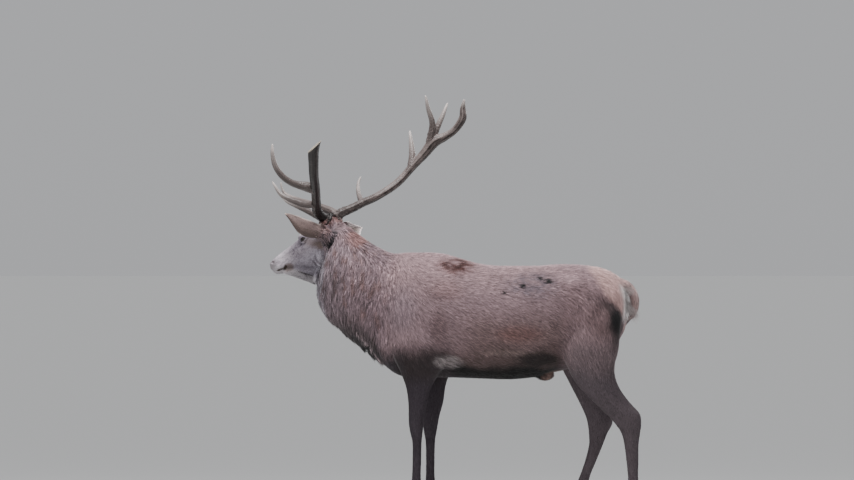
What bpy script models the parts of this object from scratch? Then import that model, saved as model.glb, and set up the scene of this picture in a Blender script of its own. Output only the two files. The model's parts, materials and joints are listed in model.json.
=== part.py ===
"""A red deer stag, life size, standing with its head turned to its right.

Metres, +Z up. The stag faces -X, its left side faces -Y, and its hooves stand on z = 0. The forms
are laid out in the stag's own frame, on its middle plane, and at the end everything moves so that
the origin lies on the floor under the middle of the whole object's box.
"""

import math

import bmesh
import bpy
import numpy as np
from mathutils import Matrix, Vector

# Driving dimensions.
GAP = 0.0004  # between pieces that meet
CORONET = 0.054  # height of the top of the hooves
FLESH_VOXEL = 0.009  # grid on which the forms of the flesh are joined
ANTLER_VOXEL = 0.004
FLESH_TRIANGLES = 2950  # before the seats, sockets and cuts, which add their own
THINNING_PASSES = 3
ANTLER_TRIANGLES = {"left": 520, "right": 780}
EYE_RADIUS = 0.0165

# The head's own frame: where it sits, how far it turns, nods and leans.
HEAD_AT = (-0.550, 0.050, 1.290)
HEAD_YAW = math.radians(33)
HEAD_PITCH = math.radians(26)
HEAD_ROLL = math.radians(8)
ANTLERS_AT = (-0.585, 0.060, 1.385)

# Finish: colour, roughness.
FINISHES = {
    "brown_coat": ((0.235, 0.150, 0.110), 0.85),
    "mane_coat": ((0.190, 0.130, 0.100), 0.90),
    "face_coat": ((0.330, 0.285, 0.255), 0.80),
    "leg_coat": ((0.085, 0.062, 0.058), 0.80),
    "antler": ((0.150, 0.105, 0.075), 0.55),
    "antler_tip": ((0.640, 0.600, 0.530), 0.40),
    "eye": ((0.012, 0.008, 0.006), 0.08),
    "hoof": ((0.030, 0.026, 0.024), 0.45),
}


# ---------------------------------------------------------------- the forms
# A form is a row of rings. Each ring is set by its upper and its lower end on the middle plane,
# half its width, how far down it is widest, and how square it is above and below that:
# 2 is an ellipse, less is peaked, more is boxy.

# x, top z, bottom z, half width, widest at, squareness above, below
TRUNK = [
    (0.800, 1.060, 0.905, 0.040, 0.50, 2.0, 2.0),
    (0.785, 1.104, 0.850, 0.090, 0.50, 2.0, 2.0),
    (0.745, 1.138, 0.790, 0.135, 0.50, 2.0, 2.0),
    (0.690, 1.163, 0.735, 0.164, 0.50, 2.0, 2.0),
    (0.616, 1.176, 0.700, 0.182, 0.48, 2.1, 2.0),
    (0.547, 1.182, 0.688, 0.188, 0.47, 2.2, 2.0),
    (0.470, 1.181, 0.672, 0.190, 0.48, 2.1, 2.0),
    (0.385, 1.175, 0.648, 0.200, 0.53, 2.0, 2.1),
    (0.262, 1.175, 0.635, 0.217, 0.57, 1.9, 2.2),
    (0.140, 1.179, 0.638, 0.220, 0.57, 1.9, 2.2),
    (0.030, 1.208, 0.642, 0.212, 0.57, 1.8, 2.2),
    (-0.070, 1.235, 0.644, 0.200, 0.56, 1.7, 2.1),
    (-0.165, 1.238, 0.644, 0.190, 0.55, 1.7, 2.0),
    (-0.255, 1.235, 0.649, 0.182, 0.52, 1.8, 1.9),
    (-0.325, 1.190, 0.690, 0.160, 0.50, 2.0, 1.9),
    (-0.375, 1.090, 0.765, 0.125, 0.48, 2.0, 2.0),
    (-0.405, 1.010, 0.850, 0.060, 0.48, 2.0, 2.0),
]

# upper end x, z, lower end x, z, sideways, half width, widest at, squareness above, below
NECK = [
    (-0.120, 1.170, -0.200, 0.700, 0.000, 0.150, 0.50, 2.0, 2.0),
    (-0.215, 1.232, -0.300, 0.690, 0.000, 0.172, 0.50, 1.8, 1.9),
    (-0.300, 1.232, -0.398, 0.762, 0.000, 0.160, 0.50, 1.8, 1.8),
    (-0.357, 1.257, -0.488, 0.826, 0.004, 0.148, 0.48, 1.8, 1.7),
    (-0.410, 1.290, -0.572, 0.898, 0.012, 0.138, 0.46, 1.8, 1.7),
    (-0.456, 1.325, -0.628, 0.968, 0.024, 0.129, 0.44, 1.9, 1.7),
    (-0.500, 1.364, -0.650, 1.046, 0.038, 0.116, 0.44, 2.0, 1.8),
    (-0.530, 1.386, -0.655, 1.110, 0.050, 0.096, 0.46, 2.0, 2.0),
]

# In the head's frame: forward, top, bottom, half width, widest at, squareness above, below
HEAD = [
    (-0.062, 0.030, -0.040, 0.040, 0.50, 2.0, 2.0),
    (-0.042, 0.066, -0.078, 0.062, 0.50, 2.0, 2.0),
    (-0.005, 0.088, -0.098, 0.074, 0.48, 2.1, 2.0),
    (0.042, 0.100, -0.106, 0.077, 0.45, 2.2, 2.0),
    (0.088, 0.105, -0.102, 0.076, 0.42, 2.4, 2.0),
    (0.130, 0.107, -0.092, 0.074, 0.38, 2.7, 1.9),
    (0.166, 0.104, -0.080, 0.065, 0.38, 2.6, 1.9),
    (0.208, 0.099, -0.062, 0.053, 0.42, 2.3, 1.9),
    (0.250, 0.095, -0.043, 0.044, 0.48, 2.2, 2.0),
    (0.292, 0.091, -0.025, 0.038, 0.50, 2.2, 2.1),
    (0.328, 0.087, -0.010, 0.036, 0.48, 2.3, 2.2),
    (0.358, 0.081, -0.001, 0.035, 0.44, 2.4, 2.2),
    (0.379, 0.072, 0.006, 0.029, 0.44, 2.3, 2.2),
    (0.390, 0.056, 0.025, 0.015, 0.50, 2.0, 2.0),
]

# The long hair under the jaw: upper end x, z, lower end x, z, sideways, half width
THROAT = [
    (-0.560, 1.190, -0.600, 1.030, 0.060, 0.060),
    (-0.610, 1.180, -0.642, 1.056, 0.078, 0.053),
    (-0.650, 1.175, -0.672, 1.078, 0.096, 0.047),
    (-0.688, 1.168, -0.702, 1.091, 0.114, 0.041),
    (-0.722, 1.162, -0.733, 1.103, 0.130, 0.035),
    (-0.756, 1.158, -0.764, 1.116, 0.146, 0.028),
    (-0.790, 1.154, -0.794, 1.125, 0.161, 0.020),
    (-0.815, 1.148, -0.817, 1.132, 0.172, 0.010),
]

# Legs: z, front x, back x, sideways, half width, squareness in front, behind
FORELEG = {
    "left": [
        (1.060, -0.235, -0.100, 0.080, 0.060, 2.0, 2.0),
        (0.960, -0.285, -0.050, 0.110, 0.068, 2.0, 2.0),
        (0.860, -0.320, -0.030, 0.122, 0.070, 2.0, 2.0),
        (0.760, -0.300, -0.035, 0.122, 0.066, 2.0, 2.0),
        (0.680, -0.266, -0.068, 0.115, 0.056, 2.0, 2.0),
        (0.607, -0.238, -0.112, 0.107, 0.045, 2.0, 1.9),
        (0.530, -0.226, -0.134, 0.101, 0.037, 2.1, 1.9),
        (0.470, -0.225, -0.146, 0.098, 0.034, 2.2, 2.0),
        (0.425, -0.223, -0.151, 0.097, 0.035, 2.4, 2.2),
        (0.385, -0.216, -0.155, 0.097, 0.033, 2.4, 2.2),
        (0.345, -0.207, -0.159, 0.097, 0.0265, 2.1, 2.0),
        (0.262, -0.207, -0.161, 0.097, 0.0225, 2.0, 2.0),
        (0.180, -0.209, -0.163, 0.097, 0.0230, 2.0, 2.0),
        (0.135, -0.215, -0.159, 0.097, 0.0290, 2.1, 2.1),
        (0.100, -0.227, -0.171, 0.097, 0.0270, 2.0, 2.1),
        (0.068, -0.243, -0.184, 0.097, 0.0290, 2.0, 2.0),
        (0.030, -0.257, -0.196, 0.097, 0.0290, 2.0, 2.0),
    ],
    "right": [
        (1.060, -0.235, -0.100, 0.080, 0.060, 2.0, 2.0),
        (0.960, -0.285, -0.050, 0.110, 0.068, 2.0, 2.0),
        (0.860, -0.315, -0.025, 0.122, 0.070, 2.0, 2.0),
        (0.760, -0.290, -0.025, 0.122, 0.066, 2.0, 2.0),
        (0.680, -0.240, -0.026, 0.115, 0.056, 2.0, 2.0),
        (0.607, -0.196, -0.046, 0.107, 0.045, 2.0, 1.9),
        (0.530, -0.172, -0.057, 0.101, 0.037, 2.1, 1.9),
        (0.470, -0.161, -0.074, 0.098, 0.034, 2.2, 2.0),
        (0.425, -0.157, -0.083, 0.097, 0.035, 2.4, 2.2),
        (0.385, -0.152, -0.090, 0.097, 0.033, 2.4, 2.2),
        (0.345, -0.145, -0.096, 0.097, 0.0265, 2.1, 2.0),
        (0.262, -0.143, -0.098, 0.097, 0.0225, 2.0, 2.0),
        (0.180, -0.144, -0.098, 0.097, 0.0230, 2.0, 2.0),
        (0.135, -0.149, -0.094, 0.097, 0.0290, 2.1, 2.1),
        (0.100, -0.161, -0.106, 0.097, 0.0270, 2.0, 2.1),
        (0.068, -0.177, -0.119, 0.097, 0.0290, 2.0, 2.0),
        (0.030, -0.191, -0.131, 0.097, 0.0290, 2.0, 2.0),
    ],
}
HINDLEG = {
    "left": [
        (1.060, 0.530, 0.720, 0.075, 0.060, 2.0, 2.0),
        (0.960, 0.500, 0.775, 0.098, 0.080, 2.0, 2.0),
        (0.860, 0.492, 0.772, 0.112, 0.084, 2.0, 2.0),
        (0.770, 0.500, 0.763, 0.120, 0.080, 2.0, 1.9),
        (0.700, 0.520, 0.745, 0.124, 0.073, 2.0, 1.8),
        (0.640, 0.548, 0.752, 0.124, 0.064, 2.0, 1.7),
        (0.585, 0.590, 0.778, 0.122, 0.054, 2.0, 1.6),
        (0.530, 0.645, 0.820, 0.118, 0.044, 2.0, 1.5),
        (0.478, 0.700, 0.866, 0.115, 0.038, 2.1, 1.7),
        (0.430, 0.745, 0.872, 0.113, 0.036, 2.2, 2.0),
        (0.385, 0.774, 0.866, 0.112, 0.032, 2.2, 2.0),
        (0.330, 0.787, 0.859, 0.111, 0.0265, 2.0, 2.0),
        (0.250, 0.797, 0.858, 0.110, 0.0235, 2.0, 2.0),
        (0.180, 0.804, 0.857, 0.110, 0.0235, 2.0, 2.0),
        (0.135, 0.801, 0.859, 0.110, 0.0290, 2.1, 2.1),
        (0.100, 0.786, 0.843, 0.110, 0.0270, 2.0, 2.1),
        (0.068, 0.768, 0.826, 0.110, 0.0290, 2.0, 2.0),
        (0.030, 0.752, 0.812, 0.110, 0.0290, 2.0, 2.0),
    ],
    "right": [
        (1.060, 0.530, 0.720, 0.075, 0.060, 2.0, 2.0),
        (0.960, 0.495, 0.770, 0.098, 0.080, 2.0, 2.0),
        (0.860, 0.480, 0.760, 0.112, 0.084, 2.0, 2.0),
        (0.770, 0.478, 0.738, 0.120, 0.080, 2.0, 1.9),
        (0.700, 0.492, 0.715, 0.124, 0.073, 2.0, 1.8),
        (0.640, 0.522, 0.706, 0.124, 0.064, 2.0, 1.7),
        (0.585, 0.550, 0.706, 0.122, 0.054, 2.0, 1.6),
        (0.530, 0.578, 0.716, 0.118, 0.044, 2.0, 1.5),
        (0.470, 0.606, 0.736, 0.115, 0.038, 2.1, 1.7),
        (0.428, 0.618, 0.740, 0.113, 0.036, 2.2, 2.0),
        (0.385, 0.623, 0.716, 0.112, 0.032, 2.2, 2.0),
        (0.330, 0.624, 0.695, 0.111, 0.0270, 2.0, 2.0),
        (0.255, 0.606, 0.664, 0.110, 0.0240, 2.0, 2.0),
        (0.188, 0.583, 0.636, 0.110, 0.0235, 2.0, 2.0),
        (0.140, 0.563, 0.622, 0.110, 0.0290, 2.1, 2.1),
        (0.102, 0.543, 0.601, 0.110, 0.0270, 2.0, 2.1),
        (0.068, 0.523, 0.581, 0.110, 0.0290, 2.0, 2.0),
        (0.030, 0.509, 0.569, 0.110, 0.0290, 2.0, 2.0),
    ],
}

# Rounded masses of muscle and hair: centre x, z, sideways, half sizes x, y, z
SIDE_MASSES = [
    (-0.215, 0.800, 0.118, 0.085, 0.062, 0.100),  # point of the shoulder and upper arm
    (-0.125, 0.905, 0.128, 0.105, 0.070, 0.140),  # triceps behind the shoulder blade
    (-0.165, 1.060, 0.070, 0.080, 0.070, 0.110),  # top of the shoulder blade
    (0.600, 0.930, 0.115, 0.130, 0.075, 0.150),  # haunch
    (0.545, 1.070, 0.110, 0.075, 0.065, 0.060),  # point of the hip
]
MIDDLE_MASSES = [
    (-0.318, 0.775, 0.000, 0.060, 0.080, 0.060),  # brisket
    (0.418, 0.660, 0.000, 0.050, 0.028, 0.034),  # sheath
]

TAIL = [  # x, z, lean of the upper side from back to up in degrees, half width, half depth
    (0.740, 1.098, 80, 0.022, 0.030),
    (0.790, 1.085, 55, 0.030, 0.027),
    (0.822, 1.056, 30, 0.034, 0.024),
    (0.838, 1.018, 8, 0.035, 0.024),
    (0.838, 0.980, -8, 0.031, 0.023),
    (0.830, 0.948, -15, 0.022, 0.019),
    (0.822, 0.924, -20, 0.008, 0.008),
]

# Ears, in the head's frame: where each is rooted, which way it points and which way it opens.
EAR_ROOTS = {"left": (0.013, 0.088, 0.058), "right": (0.004, 0.075, 0.044)}
EAR_POINTS = {"left": (0.23, 0.69, 0.685), "right": (0.08, 0.99, -0.030)}
EAR_OPENS = {"left": (0.80, -0.60, 0.00), "right": (-0.99, 0.12, 0.00)}
EAR_LENGTH = 0.215
EAR_CUP = 0.35  # how far the middle of an ear's arc lies in front of its midline, of the arc's radius
EAR_SEAT = (0.040, 0.05)  # radius and height of what is cut from the flesh to seat an ear
# Share of the length, half width, arc in degrees, thickness, how far it sags to its lower edge.
EAR_SECTIONS = [
    (0.00, 0.0240, 300, 0.0120, 0.000),
    (0.10, 0.0310, 265, 0.0090, 0.000),
    (0.22, 0.0375, 225, 0.0070, 0.003),
    (0.38, 0.0405, 190, 0.0060, 0.009),
    (0.55, 0.0390, 165, 0.0055, 0.013),
    (0.70, 0.0300, 150, 0.0050, 0.009),
    (0.84, 0.0180, 140, 0.0045, 0.003),
    (0.94, 0.0090, 130, 0.0040, 0.000),
    (1.00, 0.0035, 120, 0.0030, 0.000),
]

EYE_AT = (0.130, 0.064, 0.079)  # head's frame, left eye; the right one mirrors it

# Antlers, from the point midway between the burrs: forward, outward, up, radius, flatness
BEAM = {
    "left": [
        (0.000, 0.045, 0.008, 0.0260, 1.0),
        (0.008, 0.060, 0.022, 0.0235, 1.0),
        (0.005, 0.105, 0.054, 0.0215, 1.0),
        (-0.048, 0.190, 0.109, 0.0215, 1.0),
        (-0.116, 0.290, 0.185, 0.0215, 1.0),
        (-0.170, 0.375, 0.263, 0.0225, 1.0),
    ],
    "right": [
        (0.000, 0.045, 0.010, 0.0260, 1.0),
        (-0.020, 0.062, 0.028, 0.0225, 1.0),
        (-0.054, 0.100, 0.043, 0.0200, 1.0),
        (-0.077, 0.155, 0.060, 0.0192, 1.0),
        (-0.113, 0.240, 0.083, 0.0188, 1.0),
        (-0.163, 0.335, 0.130, 0.0188, 1.0),
        (-0.211, 0.410, 0.202, 0.0195, 1.0),
        (-0.252, 0.455, 0.256, 0.0230, 1.0),
    ],
}
BEAM_TOP = {
    "left": [
        (-0.214, 0.435, 0.338, 0.0240, 1.0),
        (-0.246, 0.475, 0.401, 0.0262, 1.0),
        (-0.283, 0.505, 0.462, 0.0290, 1.0),
        (-0.300, 0.520, 0.500, 0.0280, 1.0),
    ],
    "right": [
        (-0.277, 0.485, 0.296, 0.0270, 1.0),
        (-0.301, 0.500, 0.314, 0.0255, 1.0),
        (-0.333, 0.516, 0.326, 0.0200, 1.0),
        (-0.376, 0.540, 0.355, 0.0172, 1.0),
        (-0.415, 0.555, 0.408, 0.0185, 1.0),
        (-0.415, 0.565, 0.454, 0.0140, 1.0),
        (-0.423, 0.570, 0.497, 0.0045, 1.0),
    ],
}
TINES = {
    "left": {
        "brow_tine": [
            (0.008, 0.046, 0.004, 0.0170, 1.0),
            (0.045, 0.046, 0.026, 0.0160, 1.0),
            (0.106, 0.045, 0.053, 0.0140, 1.0),
            (0.154, 0.045, 0.072, 0.0120, 1.0),
            (0.211, 0.042, 0.093, 0.0085, 1.0),
            (0.249, 0.035, 0.115, 0.0040, 1.0),
        ],
        "bez_tine": [
            (-0.045, 0.185, 0.104, 0.0170, 1.0),
            (0.000, 0.200, 0.101, 0.0160, 1.0),
            (0.041, 0.215, 0.115, 0.0145, 1.0),
            (0.087, 0.225, 0.135, 0.0125, 1.0),
            (0.126, 0.230, 0.160, 0.0100, 1.0),
            (0.164, 0.230, 0.216, 0.0042, 1.0),
        ],
        "trez_tine": [
            (-0.112, 0.285, 0.182, 0.0215, 1.0),
            (-0.090, 0.320, 0.203, 0.0235, 1.0),
            (-0.064, 0.345, 0.214, 0.0185, 1.0),
            (-0.040, 0.375, 0.231, 0.0160, 1.0),
            (-0.009, 0.400, 0.265, 0.0150, 1.0),
            (0.016, 0.415, 0.316, 0.0132, 1.0),
            (0.023, 0.420, 0.375, 0.0095, 1.0),
            (0.022, 0.415, 0.418, 0.0045, 1.0),
        ],
    },
    "right": {
        "brow_tine": [
            (-0.005, 0.046, 0.012, 0.0200, 1.0),
            (0.025, 0.048, 0.034, 0.0190, 1.0),
            (0.115, 0.052, 0.063, 0.0160, 1.0),
            (0.201, 0.050, 0.087, 0.0125, 1.0),
            (0.263, 0.045, 0.109, 0.0095, 1.0),
            (0.291, 0.040, 0.138, 0.0065, 1.0),
            (0.292, 0.032, 0.176, 0.0042, 1.0),
        ],
        "bez_tine": [
            (-0.077, 0.155, 0.060, 0.0150, 1.0),
            (-0.040, 0.190, 0.092, 0.0120, 1.0),
            (-0.020, 0.215, 0.120, 0.0100, 1.0),
            (-0.012, 0.235, 0.148, 0.0070, 1.0),
            (-0.018, 0.250, 0.173, 0.0040, 1.0),
        ],
        "trez_tine": [
            (-0.205, 0.400, 0.195, 0.0180, 1.0),
            (-0.197, 0.432, 0.250, 0.0162, 1.0),
            (-0.181, 0.456, 0.300, 0.0122, 1.0),
            (-0.161, 0.480, 0.361, 0.0045, 1.0),
        ],
        "crown_tine_inner": [
            (-0.270, 0.478, 0.305, 0.0190, 1.0),
            (-0.290, 0.483, 0.391, 0.0145, 1.0),
            (-0.284, 0.465, 0.470, 0.0105, 1.0),
            (-0.284, 0.452, 0.531, 0.0045, 1.0),
        ],
        "crown_tine_middle": [
            (-0.280, 0.486, 0.310, 0.0180, 1.0),
            (-0.294, 0.512, 0.366, 0.0150, 1.0),
            (-0.310, 0.550, 0.427, 0.0110, 1.0),
            (-0.318, 0.585, 0.478, 0.0045, 1.0),
        ],
    },
}
BURR = (0.0375, 0.010)  # radius and half thickness of the knobbly ring at an antler's root
ANTLER_SEAT = (0.056, 0.06)  # radius and height of what is cut from the flesh to seat an antler
BREAK_FACES = (-0.70, -0.10, 0.71)  # the left beam is broken off square to this
BREAK_AT = (-0.262, 0.482, 0.418)

# Where the whole is parted: a point on the cut, which way the piece lies, a point in the piece.
FLESH_CUTS = [
    ("head", (-0.585, 0.062, 1.225), (-0.74, 0.36, 0.57), (-0.80, 0.18, 1.18)),
    ("neck", (-0.300, 0.000, 0.975), (-0.80, 0.00, 0.60), (-0.50, 0.02, 1.10)),
]
LEG_PARTS = {
    "foreleg": ((0.625, "forearm"), (0.365, "cannon")),
    "hindleg": ((0.655, "gaskin"), (0.372, "cannon")),
}

# Claws of a hoof: z, front, back, half width, all from the middle of the coronet
CLAW = [
    (0.000, -0.066, 0.020, 0.0150),
    (0.008, -0.065, 0.022, 0.0155),
    (0.025, -0.052, 0.022, 0.0150),
    (CORONET - GAP, -0.029, 0.024, 0.0135),
]
CLAW_ASIDE = 0.0170
DEWCLAW = (0.0100, 0.0075, 0.0160)  # half sizes: back, side, down
DEWCLAW_HEIGHT = 0.100


# ---------------------------------------------------------------- making meshes
def smooth_rows(rows, steps):
    """The rows with steps - 1 more between each two, on a Catmull-Rom spline through them."""
    rows = np.array(rows, float)
    padded = np.vstack([2 * rows[0] - rows[1], rows, 2 * rows[-1] - rows[-2]])
    filled = []
    for a, b, c, d in zip(padded, padded[1:], padded[2:], padded[3:]):
        for t in np.arange(steps) / steps:
            filled.append(
                b
                + t * (c - a) / 2
                + t**2 * (a - 2.5 * b + 2 * c - d / 2)
                + t**3 * (1.5 * (b - c) + (d - a) / 2)
            )
    return np.array([*filled, rows[-1]])


def tube_faces(rings, sides):
    """Quads between rings that follow one another, with one flat cap at each end."""
    faces = [tuple(reversed(range(sides)))]
    for ring in range(rings - 1):
        for i in range(sides):
            j = (i + 1) % sides
            a, b = ring * sides, (ring + 1) * sides
            faces.append((a + i, a + j, b + j, b + i))
    faces.append(tuple((rings - 1) * sides + i for i in range(sides)))
    return faces


def solid(name, points, faces):
    """A mesh object with its faces turned outwards."""
    mesh = bpy.data.meshes.new(name)
    mesh.from_pydata([tuple(p) for p in points], [], faces)
    shape = bmesh.new()
    shape.from_mesh(mesh)
    bmesh.ops.recalc_face_normals(shape, faces=shape.faces)
    shape.to_mesh(mesh)
    shape.free()
    made = bpy.data.objects.new(name, mesh)
    bpy.context.scene.collection.objects.link(made)
    return made


def ring_points(upper, lower, side, half_width, widest, above, below, sides):
    """A closed outline from the upper to the lower end, widest part of the way down."""
    turns = np.arange(sides) * 2 * math.pi / sides
    up, across = np.sin(turns), np.cos(turns)
    power = 2 / np.where(up >= 0, above, below)
    middle = upper + widest * (lower - upper)
    reach = np.where((up >= 0)[:, None], upper - middle, middle - lower)
    height = np.sign(up) * np.abs(up) ** power
    width = np.sign(across) * np.abs(across) ** power * half_width
    return middle + height[:, None] * reach + width[:, None] * np.array(side)


def loft(name, rows, sides=24, steps=4):
    """rows: (upper xyz, lower xyz, side xyz, half width, widest, above, below), one for each ring."""
    filled = smooth_rows(rows, steps)
    points = [
        ring_points(r[0:3], r[3:6], r[6:9], r[9], r[10], r[11], r[12], sides)
        for r in filled
    ]
    return solid(name, np.vstack(points), tube_faces(len(filled), sides))


def ball(name, centre, half_sizes, turn=None, segments=20):
    shape = bmesh.new()
    bmesh.ops.create_uvsphere(
        shape, u_segments=segments, v_segments=segments * 2 // 3, radius=1
    )
    stretch = Matrix.Diagonal((*half_sizes, 1))
    place = Matrix.Translation(centre) @ (turn or Matrix()).to_4x4() @ stretch
    bmesh.ops.transform(shape, matrix=place, verts=shape.verts)
    mesh = bpy.data.meshes.new(name)
    shape.to_mesh(mesh)
    shape.free()
    made = bpy.data.objects.new(name, mesh)
    bpy.context.scene.collection.objects.link(made)
    return made


def round_tube(name, rows, sides=10, steps=4):
    """A tube through (x, y, z, radius, flatness) rows, with its rings square to its path."""
    filled = smooth_rows(rows, steps)
    path = filled[:, :3]
    along = np.gradient(path, axis=0)
    along /= np.linalg.norm(along, axis=1, keepdims=True)
    side = np.cross(along[0], (0.3, 0.2, 0.93))
    turns = np.arange(sides) * 2 * math.pi / sides
    points = []
    for centre, way, radius, flat in zip(path, along, filled[:, 3], filled[:, 4]):
        side = side - way * side.dot(way)
        side /= np.linalg.norm(side)
        other = np.cross(way, side)
        points += [
            centre + radius * (math.cos(t) * side + flat * math.sin(t) * other)
            for t in turns
        ]
    return solid(name, points, tube_faces(len(filled), sides))


def head_frame(origin, pitch):
    """Matrix from (forward, left, up) in the head to the stag's frame."""
    forward = Vector((-math.cos(HEAD_YAW), math.sin(HEAD_YAW), 0))
    left = Vector((0, 0, 1)).cross(forward)
    nose = forward * math.cos(pitch) - Vector((0, 0, math.sin(pitch)))
    up = nose.cross(left)
    leaning = left * math.cos(HEAD_ROLL) - up * math.sin(HEAD_ROLL)
    up = up * math.cos(HEAD_ROLL) + left * math.sin(HEAD_ROLL)
    frame = Matrix((nose, leaning, up)).transposed().to_4x4()
    return Matrix.Translation(origin) @ frame


HEAD_FRAME = head_frame(HEAD_AT, HEAD_PITCH)
ANTLER_FRAME = head_frame(ANTLERS_AT, 0.0)
SIGN = {"left": 1, "right": -1}  # of the head's own sideways axis
Y_SIGN = {"left": -1, "right": 1}  # of the stag's y axis


def in_head(point, side="left"):
    forward, out, up = point
    return HEAD_FRAME @ Vector((forward, SIGN[side] * out, up))


def way_in_head(way, side="left"):
    forward, out, up = way
    return (HEAD_FRAME.to_3x3() @ Vector((forward, SIGN[side] * out, up))).normalized()


def in_antlers(row, side):
    place = ANTLER_FRAME @ Vector((row[0], SIGN[side] * row[1], row[2]))
    return (*place, row[3], row[4])


# ---------------------------------------------------------------- the flesh
def flesh_forms():
    """Every rounded form of the body, as closed meshes that run into each other."""
    across = (0.0, 1.0, 0.0)
    forms = [
        loft(
            "trunk_form",
            [(x, 0, top, x, 0, low, *across, *rest) for x, top, low, *rest in TRUNK],
        ),
        loft(
            "neck_form",
            [
                (ux, y, uz, lx, y, lz, *across, *rest)
                for ux, uz, lx, lz, y, *rest in NECK
            ],
        ),
        loft(
            "throat_form",
            [
                (ux, y, uz, lx, y, lz, *across, width, 0.5, 2.0, 2.0)
                for ux, uz, lx, lz, y, width in THROAT
            ],
            sides=16,
        ),
    ]
    aside = tuple(way_in_head((0, 1, 0)))
    forms.append(
        loft(
            "head_form",
            [
                (*in_head((x, 0, top)), *in_head((x, 0, low)), *aside, *rest)
                for x, top, low, *rest in HEAD
            ],
            steps=5,
        )
    )
    for side, sign in Y_SIGN.items():
        for kind, leg in (("foreleg", FORELEG), ("hindleg", HINDLEG)):
            rows = [
                (front, sign * y, z, back, sign * y, z, *across, width, 0.5, *square)
                for z, front, back, y, width, *square in leg[side]
            ]
            forms.append(loft(f"{kind}_{side}_form", rows, sides=20))
        for i, (x, z, y, *sizes) in enumerate(SIDE_MASSES):
            forms.append(ball(f"mass_{side}_{i}", (x, sign * y, z), sizes))
        forms.append(ear_root(side))
        forms.append(pedicle(side))
        forms += head_masses(side)
    for i, (x, z, y, *sizes) in enumerate(MIDDLE_MASSES):
        forms.append(ball(f"mass_{i}", (x, y, z), sizes))
    return forms


def tail():
    rings = []
    for x, z, lean, width, deep in TAIL:
        dx, dz = deep * math.cos(math.radians(lean)), deep * math.sin(math.radians(lean))
        rings.append((x + dx, 0, z + dz, x - dx, 0, z - dz, 0, 1, 0, width, 0.5, 2.0, 2.0))
    return loft("tail", rings, sides=10, steps=2)


def grown(obj, step):
    """A copy of obj with each point moved out by step."""
    mesh = obj.data.copy()
    for vert, normal in zip(mesh.vertices, [v.normal.copy() for v in mesh.vertices]):
        vert.co += normal * step
    made = bpy.data.objects.new("grown", mesh)
    bpy.context.scene.collection.objects.link(made)
    return made


def head_masses(side):
    """Brow, cheek and muzzle of one side."""
    turn = HEAD_FRAME.to_3x3()
    spots = {
        "brow": ((0.130, 0.056, 0.092), (0.034, 0.022, 0.018)),
        "cheek": ((0.080, 0.046, -0.040), (0.066, 0.032, 0.052)),
        "cheekbone": ((0.150, 0.056, 0.046), (0.048, 0.018, 0.016)),
        "lip": ((0.346, 0.020, 0.030), (0.038, 0.017, 0.024)),
        "nostril": ((0.368, 0.018, 0.062), (0.019, 0.014, 0.014)),
    }
    return [
        ball(f"{name}_{side}", in_head(at, side), sizes, turn)
        for name, (at, sizes) in spots.items()
    ]


def pedicle(side):
    """The stump of bone that carries an antler."""
    first, second = (Vector(in_antlers(row, side)[:3]) for row in BEAM[side][:2])
    root = in_head((0.015, 0.020, 0.050), side)
    rows = [(*root, 0.030, 1.0), (*root.lerp(first, 0.6), 0.028, 1.0)]
    rows += [(*first, 0.026, 1.0), (*second, 0.025, 1.0)]
    return round_tube(f"pedicle_{side}_form", rows, sides=16)


def ear_frame(side):
    """Root, length, opening and width directions of an ear."""
    root = in_head(EAR_ROOTS[side], side)
    length = way_in_head(EAR_POINTS[side], side)
    opens = way_in_head(EAR_OPENS[side], side)
    opens = (opens - length * opens.dot(length)).normalized()
    return root, length, opens, length.cross(opens)


def ear_root(side):
    root, length, _, _ = ear_frame(side)
    inside = root - length * 0.045
    rows = [(*inside, 0.032, 1.0), (*root, 0.029, 1.0), (*(root + length * 0.012), 0.027, 1.0)]
    return round_tube(f"ear_root_{side}_form", rows, sides=16)


def ear(side, arc_points=7, steps=1):
    """The cup of an ear: rings that are an outer and an inner arc, open ever wider."""
    root, length, opens, width = ear_frame(side)
    lower = width * math.copysign(1, -width.z)
    points = []
    sections = smooth_rows(EAR_SECTIONS, steps)
    for share, half, arc, thick, sag in sections:
        base = root + length * (GAP * 2 + share * EAR_LENGTH) + lower * sag
        spread = math.radians(arc) / 2
        radius = half / math.sin(min(spread, math.pi / 2))
        turns = np.linspace(-spread, spread, arc_points)
        middle = base + opens * radius * EAR_CUP
        for r, order in ((radius, turns), (max(radius - thick, radius * 0.25), turns[::-1])):
            points += [
                middle + width * (r * math.sin(t)) - opens * (r * math.cos(t)) for t in order
            ]
    return solid(f"ear_{side}", points, tube_faces(len(sections), 2 * arc_points))


def joined(name, forms):
    """One mesh object that holds all the forms, which are removed."""
    shape = bmesh.new()
    for form in forms:
        shape.from_mesh(form.data)
        bpy.data.objects.remove(form)
    mesh = bpy.data.meshes.new(name)
    shape.to_mesh(mesh)
    shape.free()
    made = bpy.data.objects.new(name, mesh)
    bpy.context.scene.collection.objects.link(made)
    return made


def baked(obj):
    """Applies the object's modifiers to its mesh."""
    graph = bpy.context.evaluated_depsgraph_get()
    mesh = bpy.data.meshes.new_from_object(obj.evaluated_get(graph), depsgraph=graph)
    obj.modifiers.clear()
    obj.data = mesh
    return obj


def fused(obj, voxel, rounds):
    """The forms made one skin on a voxel grid, then eased where they meet."""
    skin = obj.modifiers.new("skin", "REMESH")
    skin.mode = "VOXEL"
    skin.voxel_size = voxel
    ease = obj.modifiers.new("ease", "CORRECTIVE_SMOOTH")
    ease.iterations = rounds
    ease.use_only_smooth = True
    ease.factor = 0.5
    return without_islands(baked(obj))


def flood(start, next_to):
    """Everything that can be reached from start, where next_to gives a thing's neighbours."""
    found, todo = {start}, [start]
    while todo:
        fresh = set(next_to(todo.pop())) - found
        found |= fresh
        todo.extend(fresh)
    return found


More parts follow.
